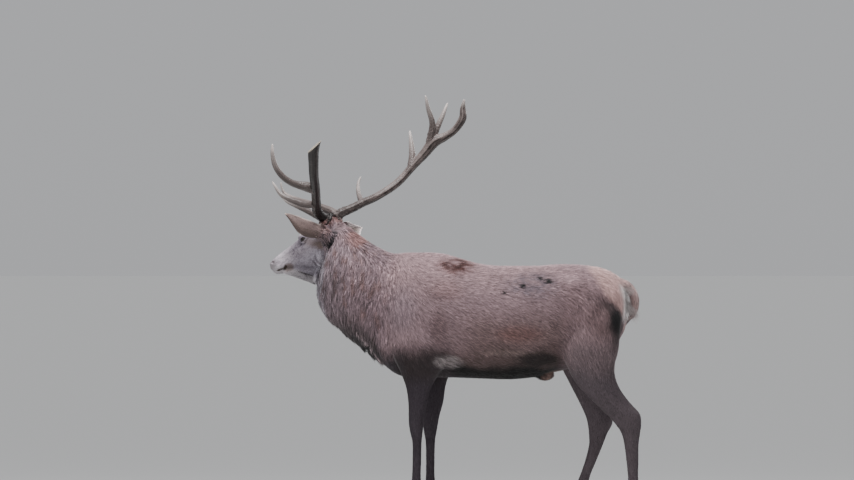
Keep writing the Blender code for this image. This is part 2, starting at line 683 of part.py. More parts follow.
def without_islands(obj):
    """Keeps only the largest connected piece: the grid can leave crumbs at a thin tip."""
    shape = bmesh.new()
    shape.from_mesh(obj.data)
    left, largest = set(shape.faces), set()
    while left:
        piece = flood(left.pop(), lambda f: {g for e in f.edges for g in e.link_faces})
        left -= piece
        largest = max(largest, piece, key=len)
    crumbs = [f for f in shape.faces if f not in largest]
    bmesh.ops.delete(shape, geom=crumbs, context="FACES")
    shape.to_mesh(obj.data)
    shape.free()
    return obj


def triangle_count(obj):
    return sum(len(p.vertices) - 2 for p in obj.data.polygons)


def thinned(obj, triangles):
    """Fewer triangles, closest where the form turns most. One pass can stop short of the aim."""
    for _ in range(THINNING_PASSES):
        thin = obj.modifiers.new("thin", "DECIMATE")
        thin.ratio = min(1, triangles / triangle_count(obj))
        thin.use_collapse_triangulate = True
        baked(obj)
    return obj


def cut_away(obj, cutter):
    """Takes the cutter out of obj, and removes the cutter."""
    cut = obj.modifiers.new("cut", "BOOLEAN")
    cut.operation = "DIFFERENCE"
    cut.object = cutter
    baked(obj)
    bpy.data.objects.remove(cutter)
    return obj


def round_block(name, centre, way, radius, height, sides=20):
    """A cylinder that starts at centre and runs along way."""
    end = Vector(centre) + Vector(way).normalized() * height
    rows = [(*centre, radius, 1.0), (*end, radius, 1.0)]
    return round_tube(name, rows, sides=sides, steps=1)


# ---------------------------------------------------------------- parting
def band_across(shape, point, way):
    """The ring of faces that a plane cuts, round the one nearest to point."""
    ahead = {v: (v.co - point).dot(way) > 0 for v in shape.verts}
    split = {f for f in shape.faces if len({ahead[v] for v in f.verts}) == 2}

    def next_in_band(face):
        crossed = [e for e in face.edges if ahead[e.verts[0]] != ahead[e.verts[1]]]
        return {f for e in crossed for f in e.link_faces} & split

    start = min(split, key=lambda f: (f.calc_center_median() - point).length)
    return flood(start, next_in_band)


def parted(obj, name, point, way, seed):
    """Cuts off the piece on the way side of a plane, the one that holds seed, as a new object."""
    point, way = Vector(point), Vector(way).normalized()
    shape = bmesh.new()
    shape.from_mesh(obj.data)
    band = band_across(shape, point, way)
    edges = {e for f in band for e in f.edges}
    verts = {v for f in band for v in f.verts}
    cut = bmesh.ops.bisect_plane(
        shape, geom=[*verts, *edges, *band], dist=1e-6, plane_co=point, plane_no=way
    )
    on_cut = {e for e in cut["geom_cut"] if isinstance(e, bmesh.types.BMEdge)}
    ahead = [f for f in shape.faces if (f.calc_center_median() - point).dot(way) > 0]
    start = min(ahead, key=lambda f: (f.calc_center_median() - Vector(seed)).length)
    piece = flood(start, lambda f: {g for e in set(f.edges) - on_cut for g in e.link_faces})
    if len(piece) == len(shape.faces):
        raise ValueError(f"the cut for {name} doesn't go all the way through")
    shape.faces.index_update()
    taken = {f.index for f in piece}
    rest = {f.index for f in shape.faces} - taken
    made = bpy.data.objects.new(name, half_of(shape, taken, way * GAP / 2))
    obj.data = half_of(shape, rest, -way * GAP / 2)
    shape.free()
    bpy.context.scene.collection.objects.link(made)
    return made


def half_of(shape, kept, step):
    """A mesh of the kept faces, closed where they were cut and set back from the cut by step."""
    half = shape.copy()
    lost = [f for f in half.faces if f.index not in kept]
    bmesh.ops.delete(half, geom=lost, context="FACES")
    rim = [e for e in half.edges if e.is_boundary]
    for vert in {v for e in rim for v in e.verts}:
        vert.co += step
    bmesh.ops.holes_fill(half, edges=rim, sides=0)
    bmesh.ops.triangulate(half, faces=[f for f in half.faces if len(f.verts) > 4])
    bmesh.ops.recalc_face_normals(half, faces=half.faces)
    mesh = bpy.data.meshes.new("half")
    half.to_mesh(mesh)
    half.free()
    return mesh


# ---------------------------------------------------------------- the whole stag
def flesh():
    """The body as one skin, parted into its nodes."""
    whole = fused(joined("trunk", flesh_forms()), FLESH_VOXEL, 6)
    thinned(whole, FLESH_TRIANGLES)
    for side in SIGN:
        burr = Vector(in_antlers(BEAM[side][0], side)[:3])
        rising = Vector(in_antlers(BEAM[side][1], side)[:3]) - burr
        seat = burr - rising.normalized() * (BURR[1] + GAP)
        cut_away(whole, round_block("seat", seat, rising, *ANTLER_SEAT, sides=10))
        root, length, _, _ = ear_frame(side)
        cut_away(whole, round_block("seat", root, length, *EAR_SEAT, sides=10))
        socket = ball("socket", in_head(EYE_AT, side), [EYE_RADIUS + GAP * 2] * 3, segments=12)
        cut_away(whole, socket)
    nodes = {"trunk": whole, "tail": tail()}
    cut_away(whole, grown(nodes["tail"], GAP * 3))
    for name, point, way, seed in FLESH_CUTS:
        nodes[name] = parted(whole, name, point, way, seed)
    for kind, leg in (("foreleg", FORELEG), ("hindleg", HINDLEG)):
        for side, sign in Y_SIGN.items():
            upper = whole
            for height, part in LEG_PARTS[kind]:
                rows = smooth_rows(leg[side], 4)
                row = rows[np.abs(rows[:, 0] - height).argmin()]
                middle = (row[1] + row[2]) / 2
                point = (middle, sign * row[3], height)
                seed = (middle, sign * row[3], height - 0.03)
                name = f"{kind}_{side}_{part}"
                upper = nodes[name] = parted(upper, name, point, (0, 0, -1), seed)
            foot = smooth_rows(leg[side], 4)
            row = foot[np.abs(foot[:, 0] - CORONET).argmin()]
            point = ((row[1] + row[2]) / 2, sign * row[3], CORONET)
            below = parted(upper, "below", point, (0, 0, -1), (*point[:2], 0.03))
            bpy.data.objects.remove(below)
    return nodes


def hooves(flesh_nodes):
    """Two claws and two dewclaws on each foot, the dewclaws seated in the cannons."""
    nodes = {}
    cannons = {
        (kind, side): flesh_nodes[f"{kind}_{side}_cannon"]
        for kind in LEG_PARTS
        for side in SIGN
    }
    for kind, leg in (("foreleg", FORELEG), ("hindleg", HINDLEG)):
        for side, sign in Y_SIGN.items():
            rows = smooth_rows(leg[side], 4)
            row = rows[np.abs(rows[:, 0] - CORONET).argmin()]
            middle, y = (row[1] + row[2]) / 2, sign * row[3]
            for place, aside in (("outer", sign), ("inner", -sign)):
                claw = [
                    (middle + f, y + aside * CLAW_ASIDE, z, middle + b, y + aside * CLAW_ASIDE, z)
                    + (0, 1, 0, width, 0.55, 1.9, 2.6)
                    for z, f, b, width in CLAW
                ]
                name = f"hoof_{kind}_{side}_{place}"
                nodes[name] = loft(name, claw, sides=12, steps=1)
            high = rows[np.abs(rows[:, 0] - DEWCLAW_HEIGHT).argmin()]
            for place, aside in (("outer", sign), ("inner", -sign)):
                name = f"dewclaw_{kind}_{side}_{place}"
                at = (high[2] - 0.004, y + aside * 0.016, DEWCLAW_HEIGHT)
                nodes[name] = ball(name, at, DEWCLAW, segments=8)
                cut_away(cannons[kind, side], grown(nodes[name], GAP * 3))
    return nodes


def where_clear(tine, others):
    """Where along a tine it has come clear of the other tubes, and which way it runs there."""
    tubes = np.vstack([smooth_rows(rows, 8) for rows in others])
    path = smooth_rows(tine, 8)
    for row, after in zip(path, path[1:]):
        room = np.linalg.norm(tubes[:, :3] - row[:3], axis=1) - tubes[:, 3] - row[3]
        if room.min() > ANTLER_VOXEL:
            return row[:3], after[:3] - row[:3]
    raise ValueError("a tine never comes clear of the beam")


def antler(side):
    """One antler, fused from its tubes and parted at its forks."""
    rows = [in_antlers(row, side) for row in BEAM[side] + BEAM_TOP[side]]
    forms = [round_tube("beam_form", rows, sides=12)]
    tines = {
        name: [in_antlers(row, side) for row in tine] for name, tine in TINES[side].items()
    }
    forms += [round_tube(name, tine, sides=10) for name, tine in tines.items()]
    burr, rising = Vector(rows[0][:3]), Vector(rows[1][:3]) - Vector(rows[0][:3])
    turn = rising.to_track_quat("Z", "Y").to_matrix()
    forms.append(ball("burr", burr, (BURR[0], BURR[0], BURR[1] * 1.6), turn))
    whole = fused(joined(f"antler_{side}_beam", forms), ANTLER_VOXEL, 4)
    thinned(whole, ANTLER_TRIANGLES[side])
    below = burr - rising.normalized() * BURR[1]
    cut_away(whole, round_block("below", below, -rising, 0.08, 0.08))
    nodes = {whole.name: whole}
    if side == "left":
        broken = ANTLER_FRAME @ Vector(BREAK_AT)
        facing = Vector(BREAK_FACES)
        seed = Vector(rows[-1][:3])
        bpy.data.objects.remove(parted(whole, "lost", broken, facing, seed))
    for name, tine in tines.items():
        others = [rows] + [row for other, row in tines.items() if other != name]
        point, leaving = where_clear(tine, others)
        node = f"antler_{side}_{name}"
        nodes[node] = parted(whole, node, point, leaving, tine[-1][:3])
    fork = Vector(rows[len(BEAM[side]) - 1][:3])
    rising = Vector(rows[len(BEAM[side])][:3]) - fork
    node = f"antler_{side}_upper_beam"
    nodes[node] = parted(whole, node, fork, rising, rows[-2][:3])
    return nodes


def eyes():
    return {
        f"eye_{side}": ball(f"eye_{side}", in_head(EYE_AT, side), [EYE_RADIUS] * 3, segments=12)
        for side in SIGN
    }


def finish(nodes):
    """Moves the stag over the origin and gives each node its finish."""
    for obj in nodes.values():
        obj.data.materials.clear()
    for name, (colour, roughness) in FINISHES.items():
        material = bpy.data.materials.new(name)
        material.use_nodes = True
        shader = material.node_tree.nodes["Principled BSDF"]
        shader.inputs["Base Color"].default_value = (*colour, 1)
        shader.inputs["Roughness"].default_value = roughness
    for name, obj in nodes.items():
        obj.data.materials.append(bpy.data.materials[finish_of(name)])
        obj.data.shade_smooth()
    corners = np.array([obj.matrix_world @ v.co for obj in nodes.values() for v in obj.data.vertices])
    middle = (corners.min(0) + corners.max(0)) / 2
    shift = Matrix.Translation((-middle[0], -middle[1], 0))
    for obj in nodes.values():
        obj.data.transform(shift)


def finish_of(name):
    if name.startswith("antler"):
        return "antler_tip" if name.endswith("tine") else "antler"
    for start, slot in (("eye", "eye"), ("hoof", "hoof"), ("dewclaw", "hoof"), ("neck", "mane_coat")):
        if name.startswith(start):
            return slot
    if "leg_" in name:
        return "leg_coat"
    return "face_coat" if name.startswith(("head", "ear")) else "brown_coat"


def main():
    for obj in list(bpy.data.objects):
        bpy.data.objects.remove(obj)
    nodes = flesh()
    nodes |= {f"ear_{side}": ear(side) for side in SIGN}
    nodes |= hooves(nodes)
    nodes |= antler("left")
    nodes |= antler("right")
    nodes |= eyes()
    finish(nodes)


main()
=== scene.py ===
"""A red deer stag, life size, as a still museum model: skin, coat, antlers, eyes and hooves.

Everything is laid out in the stag's own frame, on its middle plane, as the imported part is: it faces
-X, its left side faces -Y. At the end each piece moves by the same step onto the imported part.
"""

import json
import math
from contextlib import contextmanager

import bmesh
import bpy
import numpy as np
from mathutils import Matrix, Vector, noise
from mathutils.bvhtree import BVHTree
from mathutils.kdtree import KDTree

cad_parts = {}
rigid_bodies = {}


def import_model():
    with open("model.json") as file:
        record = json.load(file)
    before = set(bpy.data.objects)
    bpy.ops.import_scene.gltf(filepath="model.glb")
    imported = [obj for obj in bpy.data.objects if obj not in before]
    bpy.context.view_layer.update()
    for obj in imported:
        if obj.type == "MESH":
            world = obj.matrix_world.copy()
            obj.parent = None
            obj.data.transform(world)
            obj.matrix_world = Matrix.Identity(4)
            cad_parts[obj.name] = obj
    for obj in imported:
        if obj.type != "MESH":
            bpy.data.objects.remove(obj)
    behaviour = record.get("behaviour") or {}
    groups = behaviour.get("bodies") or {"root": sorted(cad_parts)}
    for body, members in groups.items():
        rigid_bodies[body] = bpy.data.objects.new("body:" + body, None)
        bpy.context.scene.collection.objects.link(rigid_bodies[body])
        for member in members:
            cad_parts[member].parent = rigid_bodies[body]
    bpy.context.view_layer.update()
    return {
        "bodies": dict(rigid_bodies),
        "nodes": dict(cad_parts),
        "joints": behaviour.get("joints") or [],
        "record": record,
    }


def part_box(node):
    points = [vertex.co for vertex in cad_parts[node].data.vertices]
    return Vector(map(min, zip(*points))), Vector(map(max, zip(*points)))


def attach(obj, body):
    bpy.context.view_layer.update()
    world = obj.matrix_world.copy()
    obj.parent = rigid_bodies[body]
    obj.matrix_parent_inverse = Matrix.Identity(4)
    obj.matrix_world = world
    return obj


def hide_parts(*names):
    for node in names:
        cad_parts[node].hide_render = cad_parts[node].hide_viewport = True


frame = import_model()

# Driving dimensions.
GAP = 0.0004  # between pieces that meet
CORONET = 0.054  # height of the top of the hooves
SKIN_VOXEL = 0.005
ANTLER_VOXEL = 0.0023
EYE_RADIUS = 0.0165

# The head's own frame: where it sits, how far it turns, nods and leans.
HEAD_AT = (-0.550, 0.050, 1.290)
HEAD_YAW = math.radians(33)
HEAD_PITCH = math.radians(26)
HEAD_ROLL = math.radians(8)
ANTLERS_AT = (-0.585, 0.060, 1.385)

# ---------------------------------------------------------------- the forms
# A form is a row of rings. Each ring is set by its upper and its lower end on the middle plane,
# half its width, how far down it is widest, and how square it is above and below that:
# 2 is an ellipse, less is peaked, more is boxy.

# x, top z, bottom z, half width, widest at, squareness above, below
TRUNK = [
    (0.800, 1.060, 0.905, 0.040, 0.50, 2.0, 2.0),
    (0.785, 1.104, 0.850, 0.090, 0.50, 2.0, 2.0),
    (0.745, 1.138, 0.790, 0.135, 0.50, 2.0, 2.0),
    (0.690, 1.163, 0.735, 0.164, 0.50, 2.0, 2.0),
    (0.616, 1.176, 0.700, 0.182, 0.48, 2.1, 2.0),
    (0.547, 1.182, 0.688, 0.188, 0.47, 2.2, 2.0),
    (0.470, 1.181, 0.672, 0.190, 0.48, 2.1, 2.0),
    (0.385, 1.175, 0.648, 0.200, 0.53, 2.0, 2.1),
    (0.262, 1.175, 0.635, 0.217, 0.57, 1.9, 2.2),
    (0.140, 1.179, 0.638, 0.220, 0.57, 1.9, 2.2),
    (0.030, 1.208, 0.642, 0.212, 0.57, 1.8, 2.2),
    (-0.070, 1.235, 0.644, 0.200, 0.56, 1.7, 2.1),
    (-0.165, 1.238, 0.644, 0.190, 0.55, 1.7, 2.0),
    (-0.255, 1.235, 0.649, 0.182, 0.52, 1.8, 1.9),
    (-0.325, 1.190, 0.690, 0.160, 0.50, 2.0, 1.9),
    (-0.375, 1.090, 0.765, 0.125, 0.48, 2.0, 2.0),
    (-0.405, 1.010, 0.850, 0.060, 0.48, 2.0, 2.0),
]

# upper end x, z, lower end x, z, sideways, half width, widest at, squareness above, below,
# and how thick the coat is above, in front and at the sides
NECK = [
    (-0.120, 1.170, -0.200, 0.700, 0.000, 0.150, 0.50, 2.0, 2.0, 0.006, 0.010, 0.006),
    (-0.215, 1.232, -0.300, 0.690, 0.000, 0.172, 0.50, 1.8, 1.9, 0.006, 0.010, 0.009),
    (-0.300, 1.232, -0.398, 0.762, 0.000, 0.160, 0.50, 1.8, 1.8, 0.008, 0.016, 0.015),
    (-0.357, 1.257, -0.488, 0.826, 0.004, 0.148, 0.48, 1.8, 1.7, 0.012, 0.030, 0.022),
    (-0.410, 1.290, -0.572, 0.898, 0.012, 0.138, 0.46, 1.8, 1.7, 0.015, 0.042, 0.026),
    (-0.456, 1.325, -0.628, 0.968, 0.024, 0.129, 0.44, 1.9, 1.7, 0.016, 0.042, 0.025),
    (-0.500, 1.364, -0.650, 1.046, 0.038, 0.116, 0.44, 2.0, 1.8, 0.016, 0.032, 0.021),
    (-0.530, 1.386, -0.655, 1.110, 0.050, 0.096, 0.46, 2.0, 2.0, 0.012, 0.020, 0.016),
]

# In the head's frame: forward, top, bottom, half width, widest at, squareness above, below
HEAD = [
    (-0.062, 0.030, -0.040, 0.040, 0.50, 2.0, 2.0),
    (-0.042, 0.066, -0.078, 0.062, 0.50, 2.0, 2.0),
    (-0.005, 0.088, -0.098, 0.074, 0.48, 2.1, 2.0),
    (0.042, 0.100, -0.106, 0.077, 0.45, 2.2, 2.0),
    (0.088, 0.105, -0.102, 0.076, 0.42, 2.4, 2.0),
    (0.130, 0.107, -0.092, 0.074, 0.38, 2.7, 1.9),
    (0.166, 0.104, -0.080, 0.065, 0.38, 2.6, 1.9),
    (0.208, 0.099, -0.062, 0.053, 0.42, 2.3, 1.9),
    (0.250, 0.095, -0.043, 0.044, 0.48, 2.2, 2.0),
    (0.292, 0.091, -0.025, 0.038, 0.50, 2.2, 2.1),
    (0.328, 0.087, -0.010, 0.036, 0.48, 2.3, 2.2),
    (0.358, 0.081, -0.001, 0.035, 0.44, 2.4, 2.2),
    (0.379, 0.072, 0.006, 0.029, 0.44, 2.3, 2.2),
    (0.390, 0.056, 0.025, 0.015, 0.50, 2.0, 2.0),
]

# What hangs under the jaw: upper end x, z, lower end x, z, sideways, half width, and how much of
# its depth and of its width is flesh and not hair
THROAT = [
    (-0.560, 1.190, -0.600, 1.030, 0.060, 0.060, 0.66, 1.00),
    (-0.610, 1.180, -0.642, 1.056, 0.078, 0.053, 0.82, 0.90),
    (-0.650, 1.175, -0.672, 1.078, 0.096, 0.047, 0.88, 0.82),
    (-0.688, 1.168, -0.702, 1.091, 0.114, 0.041, 0.91, 0.76),
    (-0.722, 1.162, -0.733, 1.103, 0.130, 0.035, 0.93, 0.72),
    (-0.756, 1.158, -0.764, 1.116, 0.146, 0.028, 0.94, 0.68),
    (-0.790, 1.154, -0.794, 1.125, 0.161, 0.020, 0.95, 0.62),
    (-0.815, 1.148, -0.817, 1.132, 0.172, 0.010, 0.95, 0.60),
]

# Forelegs: z, front x and back x of the left one, the same of the right one, sideways, half width,
# squareness in front, behind
FORELEG_ROWS = [
    (1.060, -0.235, -0.100, -0.235, -0.100, 0.080, 0.0600, 2.0, 2.0),
    (0.960, -0.285, -0.050, -0.285, -0.050, 0.110, 0.0680, 2.0, 2.0),
    (0.860, -0.320, -0.030, -0.315, -0.025, 0.122, 0.0700, 2.0, 2.0),
    (0.760, -0.300, -0.035, -0.290, -0.025, 0.122, 0.0660, 2.0, 2.0),
    (0.680, -0.266, -0.068, -0.240, -0.026, 0.115, 0.0560, 2.0, 2.0),
    (0.607, -0.238, -0.112, -0.196, -0.046, 0.107, 0.0450, 2.0, 1.9),
    (0.530, -0.226, -0.134, -0.172, -0.057, 0.101, 0.0370, 2.1, 1.9),
    (0.470, -0.225, -0.146, -0.161, -0.074, 0.098, 0.0340, 2.2, 2.0),
    (0.425, -0.223, -0.151, -0.157, -0.083, 0.097, 0.0350, 2.4, 2.2),
    (0.385, -0.216, -0.155, -0.152, -0.090, 0.097, 0.0330, 2.4, 2.2),
    (0.345, -0.207, -0.159, -0.145, -0.096, 0.097, 0.0265, 2.1, 2.0),
    (0.262, -0.207, -0.161, -0.143, -0.098, 0.097, 0.0225, 2.0, 2.0),
    (0.180, -0.209, -0.163, -0.144, -0.098, 0.097, 0.0230, 2.0, 2.0),
    (0.135, -0.215, -0.159, -0.149, -0.094, 0.097, 0.0290, 2.1, 2.1),
    (0.100, -0.227, -0.171, -0.161, -0.106, 0.097, 0.0270, 2.0, 2.1),
    (0.068, -0.243, -0.184, -0.177, -0.119, 0.097, 0.0290, 2.0, 2.0),
    (0.030, -0.257, -0.196, -0.191, -0.131, 0.097, 0.0290, 2.0, 2.0),
]
FORELEG = {
    "left": [(*row[:3], *row[5:]) for row in FORELEG_ROWS],
    "right": [(row[0], *row[3:]) for row in FORELEG_ROWS],
}
# Hindlegs: z, front x, back x, sideways, half width, squareness in front, behind
HINDLEG = {
    "left": [
        (1.060, 0.530, 0.720, 0.075, 0.060, 2.0, 2.0),
        (0.960, 0.500, 0.775, 0.098, 0.080, 2.0, 2.0),
        (0.860, 0.492, 0.772, 0.112, 0.084, 2.0, 2.0),
        (0.770, 0.500, 0.763, 0.120, 0.080, 2.0, 1.9),
        (0.700, 0.520, 0.745, 0.124, 0.073, 2.0, 1.8),
        (0.640, 0.548, 0.752, 0.124, 0.064, 2.0, 1.7),
        (0.585, 0.590, 0.778, 0.122, 0.054, 2.0, 1.6),
        (0.530, 0.645, 0.820, 0.118, 0.044, 2.0, 1.5),
        (0.478, 0.700, 0.866, 0.115, 0.038, 2.1, 1.7),
        (0.430, 0.745, 0.872, 0.113, 0.036, 2.2, 2.0),
        (0.385, 0.774, 0.866, 0.112, 0.032, 2.2, 2.0),
        (0.330, 0.787, 0.859, 0.111, 0.0265, 2.0, 2.0),
        (0.250, 0.797, 0.858, 0.110, 0.0235, 2.0, 2.0),
        (0.180, 0.804, 0.857, 0.110, 0.0235, 2.0, 2.0),
        (0.135, 0.801, 0.859, 0.110, 0.0290, 2.1, 2.1),
        (0.100, 0.786, 0.843, 0.110, 0.0270, 2.0, 2.1),
        (0.068, 0.768, 0.826, 0.110, 0.0290, 2.0, 2.0),
        (0.030, 0.752, 0.812, 0.110, 0.0290, 2.0, 2.0),
    ],
    "right": [
        (1.060, 0.530, 0.720, 0.075, 0.060, 2.0, 2.0),
        (0.960, 0.495, 0.770, 0.098, 0.080, 2.0, 2.0),
        (0.860, 0.480, 0.760, 0.112, 0.084, 2.0, 2.0),
        (0.770, 0.478, 0.738, 0.120, 0.080, 2.0, 1.9),
        (0.700, 0.492, 0.715, 0.124, 0.073, 2.0, 1.8),
        (0.640, 0.522, 0.706, 0.124, 0.064, 2.0, 1.7),
        (0.585, 0.550, 0.706, 0.122, 0.054, 2.0, 1.6),
        (0.530, 0.578, 0.716, 0.118, 0.044, 2.0, 1.5),
        (0.470, 0.606, 0.736, 0.115, 0.038, 2.1, 1.7),
        (0.428, 0.618, 0.740, 0.113, 0.036, 2.2, 2.0),
        (0.385, 0.623, 0.716, 0.112, 0.032, 2.2, 2.0),
        (0.330, 0.624, 0.695, 0.111, 0.0270, 2.0, 2.0),
        (0.255, 0.606, 0.664, 0.110, 0.0240, 2.0, 2.0),
        (0.188, 0.583, 0.636, 0.110, 0.0235, 2.0, 2.0),
        (0.140, 0.563, 0.622, 0.110, 0.0290, 2.1, 2.1),
        (0.102, 0.543, 0.601, 0.110, 0.0270, 2.0, 2.1),
        (0.068, 0.523, 0.581, 0.110, 0.0290, 2.0, 2.0),
        (0.030, 0.509, 0.569, 0.110, 0.0290, 2.0, 2.0),
    ],
}
LEGS = {"foreleg": FORELEG, "hindleg": HINDLEG}

# Rounded masses of muscle and hair: centre x, z, sideways, half sizes x, y, z
SIDE_MASSES = [
    (-0.215, 0.800, 0.118, 0.085, 0.062, 0.100),  # point of the shoulder and upper arm
    (-0.125, 0.905, 0.128, 0.105, 0.070, 0.140),  # triceps behind the shoulder blade
    (-0.165, 1.060, 0.070, 0.080, 0.070, 0.110),  # top of the shoulder blade
    (0.600, 0.930, 0.115, 0.130, 0.075, 0.150),  # haunch
    (0.545, 1.070, 0.110, 0.075, 0.065, 0.060),  # point of the hip
]
MIDDLE_MASSES = [
    (-0.318, 0.775, 0.000, 0.060, 0.080, 0.060),  # brisket
    (0.418, 0.660, 0.000, 0.050, 0.028, 0.034),  # sheath
]

TAIL = [  # x, z, lean of the upper side from back to up in degrees, half width, half depth
    (0.740, 1.098, 80, 0.022, 0.030),
    (0.790, 1.085, 55, 0.030, 0.027),
    (0.822, 1.056, 30, 0.034, 0.024),
    (0.838, 1.018, 8, 0.035, 0.024),
    (0.838, 0.980, -8, 0.031, 0.023),
    (0.830, 0.948, -15, 0.022, 0.019),
    (0.822, 0.924, -20, 0.008, 0.008),
]

# Ears, in the head's frame: where each is rooted, which way it points and which way it opens.
EAR_ROOTS = {"left": (0.013, 0.088, 0.058), "right": (0.004, 0.075, 0.044)}
EAR_POINTS = {"left": (0.23, 0.69, 0.685), "right": (0.08, 0.99, -0.030)}
EAR_OPENS = {"left": (0.80, -0.60, 0.00), "right": (-0.99, 0.12, 0.00)}
EAR_LENGTH = 0.215
EAR_CUP = 0.35  # how far the middle of an ear's arc lies in front of its midline, of the arc's radius
# Share of the length, half width, arc in degrees, thickness, how far it sags to its lower edge.
EAR_SECTIONS = [
    (0.00, 0.0240, 300, 0.0120, 0.000),
    (0.10, 0.0310, 265, 0.0090, 0.000),
    (0.22, 0.0375, 225, 0.0070, 0.003),
    (0.38, 0.0405, 190, 0.0060, 0.009),
    (0.55, 0.0390, 165, 0.0055, 0.013),
    (0.70, 0.0300, 150, 0.0050, 0.009),
    (0.84, 0.0180, 140, 0.0045, 0.003),
    (0.94, 0.0090, 130, 0.0040, 0.000),
    (1.00, 0.0035, 120, 0.0030, 0.000),
]

EYE_AT = (0.130, 0.064, 0.079)  # head's frame, left eye; the right one mirrors it

# Antlers, from the point midway between the burrs: forward, outward, up, radius
BEAM = {
    "left": [
        (0.000, 0.045, 0.008, 0.0260),
        (0.008, 0.060, 0.022, 0.0235),
        (0.005, 0.105, 0.054, 0.0215),
        (-0.048, 0.190, 0.109, 0.0215),
        (-0.116, 0.290, 0.185, 0.0215),
        (-0.170, 0.375, 0.263, 0.0225),
    ],
    "right": [
        (0.000, 0.045, 0.010, 0.0260),
        (-0.020, 0.062, 0.028, 0.0225),
        (-0.054, 0.100, 0.043, 0.0200),
        (-0.077, 0.155, 0.060, 0.0192),
        (-0.113, 0.240, 0.083, 0.0188),
        (-0.163, 0.335, 0.130, 0.0188),
        (-0.211, 0.410, 0.202, 0.0195),
        (-0.252, 0.455, 0.256, 0.0230),
    ],
}
BEAM_TOP = {
    "left": [
        (-0.214, 0.435, 0.338, 0.0240),
        (-0.246, 0.475, 0.401, 0.0262),
        (-0.283, 0.505, 0.462, 0.0290),
        (-0.300, 0.520, 0.500, 0.0280),
    ],
    "right": [
        (-0.277, 0.485, 0.296, 0.0270),
        (-0.301, 0.500, 0.314, 0.0255),
        (-0.333, 0.516, 0.326, 0.0200),
        (-0.376, 0.540, 0.355, 0.0172),
        (-0.415, 0.555, 0.408, 0.0185),
        (-0.415, 0.565, 0.454, 0.0140),
        (-0.423, 0.570, 0.497, 0.0045),
    ],
}
TINES = {
    "left": {
        "brow_tine": [
            (0.008, 0.046, 0.004, 0.0170),
            (0.045, 0.046, 0.026, 0.0160),
            (0.106, 0.045, 0.053, 0.0140),
            (0.154, 0.045, 0.072, 0.0120),
            (0.211, 0.042, 0.093, 0.0085),
            (0.249, 0.035, 0.115, 0.0040),
        ],
        "bez_tine": [
            (-0.045, 0.185, 0.104, 0.0170),
            (0.000, 0.200, 0.101, 0.0160),
            (0.041, 0.215, 0.115, 0.0145),
            (0.087, 0.225, 0.135, 0.0125),
            (0.126, 0.230, 0.160, 0.0100),
            (0.164, 0.230, 0.216, 0.0042),
        ],
        "trez_tine": [
            (-0.112, 0.285, 0.182, 0.0215),
            (-0.090, 0.320, 0.203, 0.0235),
            (-0.064, 0.345, 0.214, 0.0185),
            (-0.040, 0.375, 0.231, 0.0160),
            (-0.009, 0.400, 0.265, 0.0150),
            (0.016, 0.415, 0.316, 0.0132),
            (0.023, 0.420, 0.375, 0.0095),
            (0.022, 0.415, 0.418, 0.0045),
        ],
    },
    "right": {
        "brow_tine": [
            (-0.005, 0.046, 0.012, 0.0200),
            (0.025, 0.048, 0.034, 0.0190),
            (0.115, 0.052, 0.063, 0.0160),
            (0.201, 0.050, 0.087, 0.0125),
            (0.263, 0.045, 0.109, 0.0095),
            (0.291, 0.040, 0.138, 0.0065),
            (0.292, 0.032, 0.176, 0.0042),
        ],
        "bez_tine": [
            (-0.077, 0.155, 0.060, 0.0150),
            (-0.040, 0.190, 0.092, 0.0120),
            (-0.020, 0.215, 0.120, 0.0100),
            (-0.012, 0.235, 0.148, 0.0070),
            (-0.018, 0.250, 0.173, 0.0040),
        ],
        "trez_tine": [
            (-0.205, 0.400, 0.195, 0.0180),
            (-0.197, 0.432, 0.250, 0.0162),
            (-0.181, 0.456, 0.300, 0.0122),
            (-0.161, 0.480, 0.361, 0.0045),
        ],
        "crown_tine_inner": [
            (-0.270, 0.478, 0.305, 0.0190),
            (-0.290, 0.483, 0.391, 0.0145),
            (-0.284, 0.465, 0.470, 0.0105),
            (-0.284, 0.452, 0.531, 0.0045),
        ],
        "crown_tine_middle": [
            (-0.280, 0.486, 0.310, 0.0180),
            (-0.294, 0.512, 0.366, 0.0150),
            (-0.310, 0.550, 0.427, 0.0110),
            (-0.318, 0.585, 0.478, 0.0045),
        ],
    },
}
BURR = (0.0375, 0.010)  # radius and half thickness of the knobbly ring at an antler's root
BREAK_FACES = (-0.70, -0.10, 0.71)  # the left beam is broken off square to this
BREAK_AT = (-0.262, 0.482, 0.418)

# Claws of a hoof: z, front, back, half width, all from the middle of the coronet
CLAW = [
    (0.000, -0.066, 0.020, 0.0150),
    (0.008, -0.065, 0.022, 0.0155),
    (0.025, -0.052, 0.022, 0.0150),
    (CORONET - GAP, -0.029, 0.024, 0.0135),
]
CLAW_ASIDE = 0.0170
DEWCLAW = (0.0100, 0.0075, 0.0160)  # half sizes: back, side, down
DEWCLAW_HEIGHT = 0.100


# ---------------------------------------------------------------- making meshes
TUBE_SIDE = (0.3, 0.2, 0.93)  # no tube runs this way, so the first ring is set out from it


def smooth_rows(rows, steps):
    """The rows with steps - 1 more between each two, on a Catmull-Rom spline through them."""
    rows = np.array(rows, float)
    padded = np.vstack([2 * rows[0] - rows[1], rows, 2 * rows[-1] - rows[-2]])
    filled = []
    for a, b, c, d in zip(padded, padded[1:], padded[2:], padded[3:]):
        for t in np.arange(steps) / steps:
            filled.append(
                b
                + t * (c - a) / 2
                + t**2 * (a - 2.5 * b + 2 * c - d / 2)
                + t**3 * (1.5 * (b - c) + (d - a) / 2)
            )
    return np.array([*filled, rows[-1]])


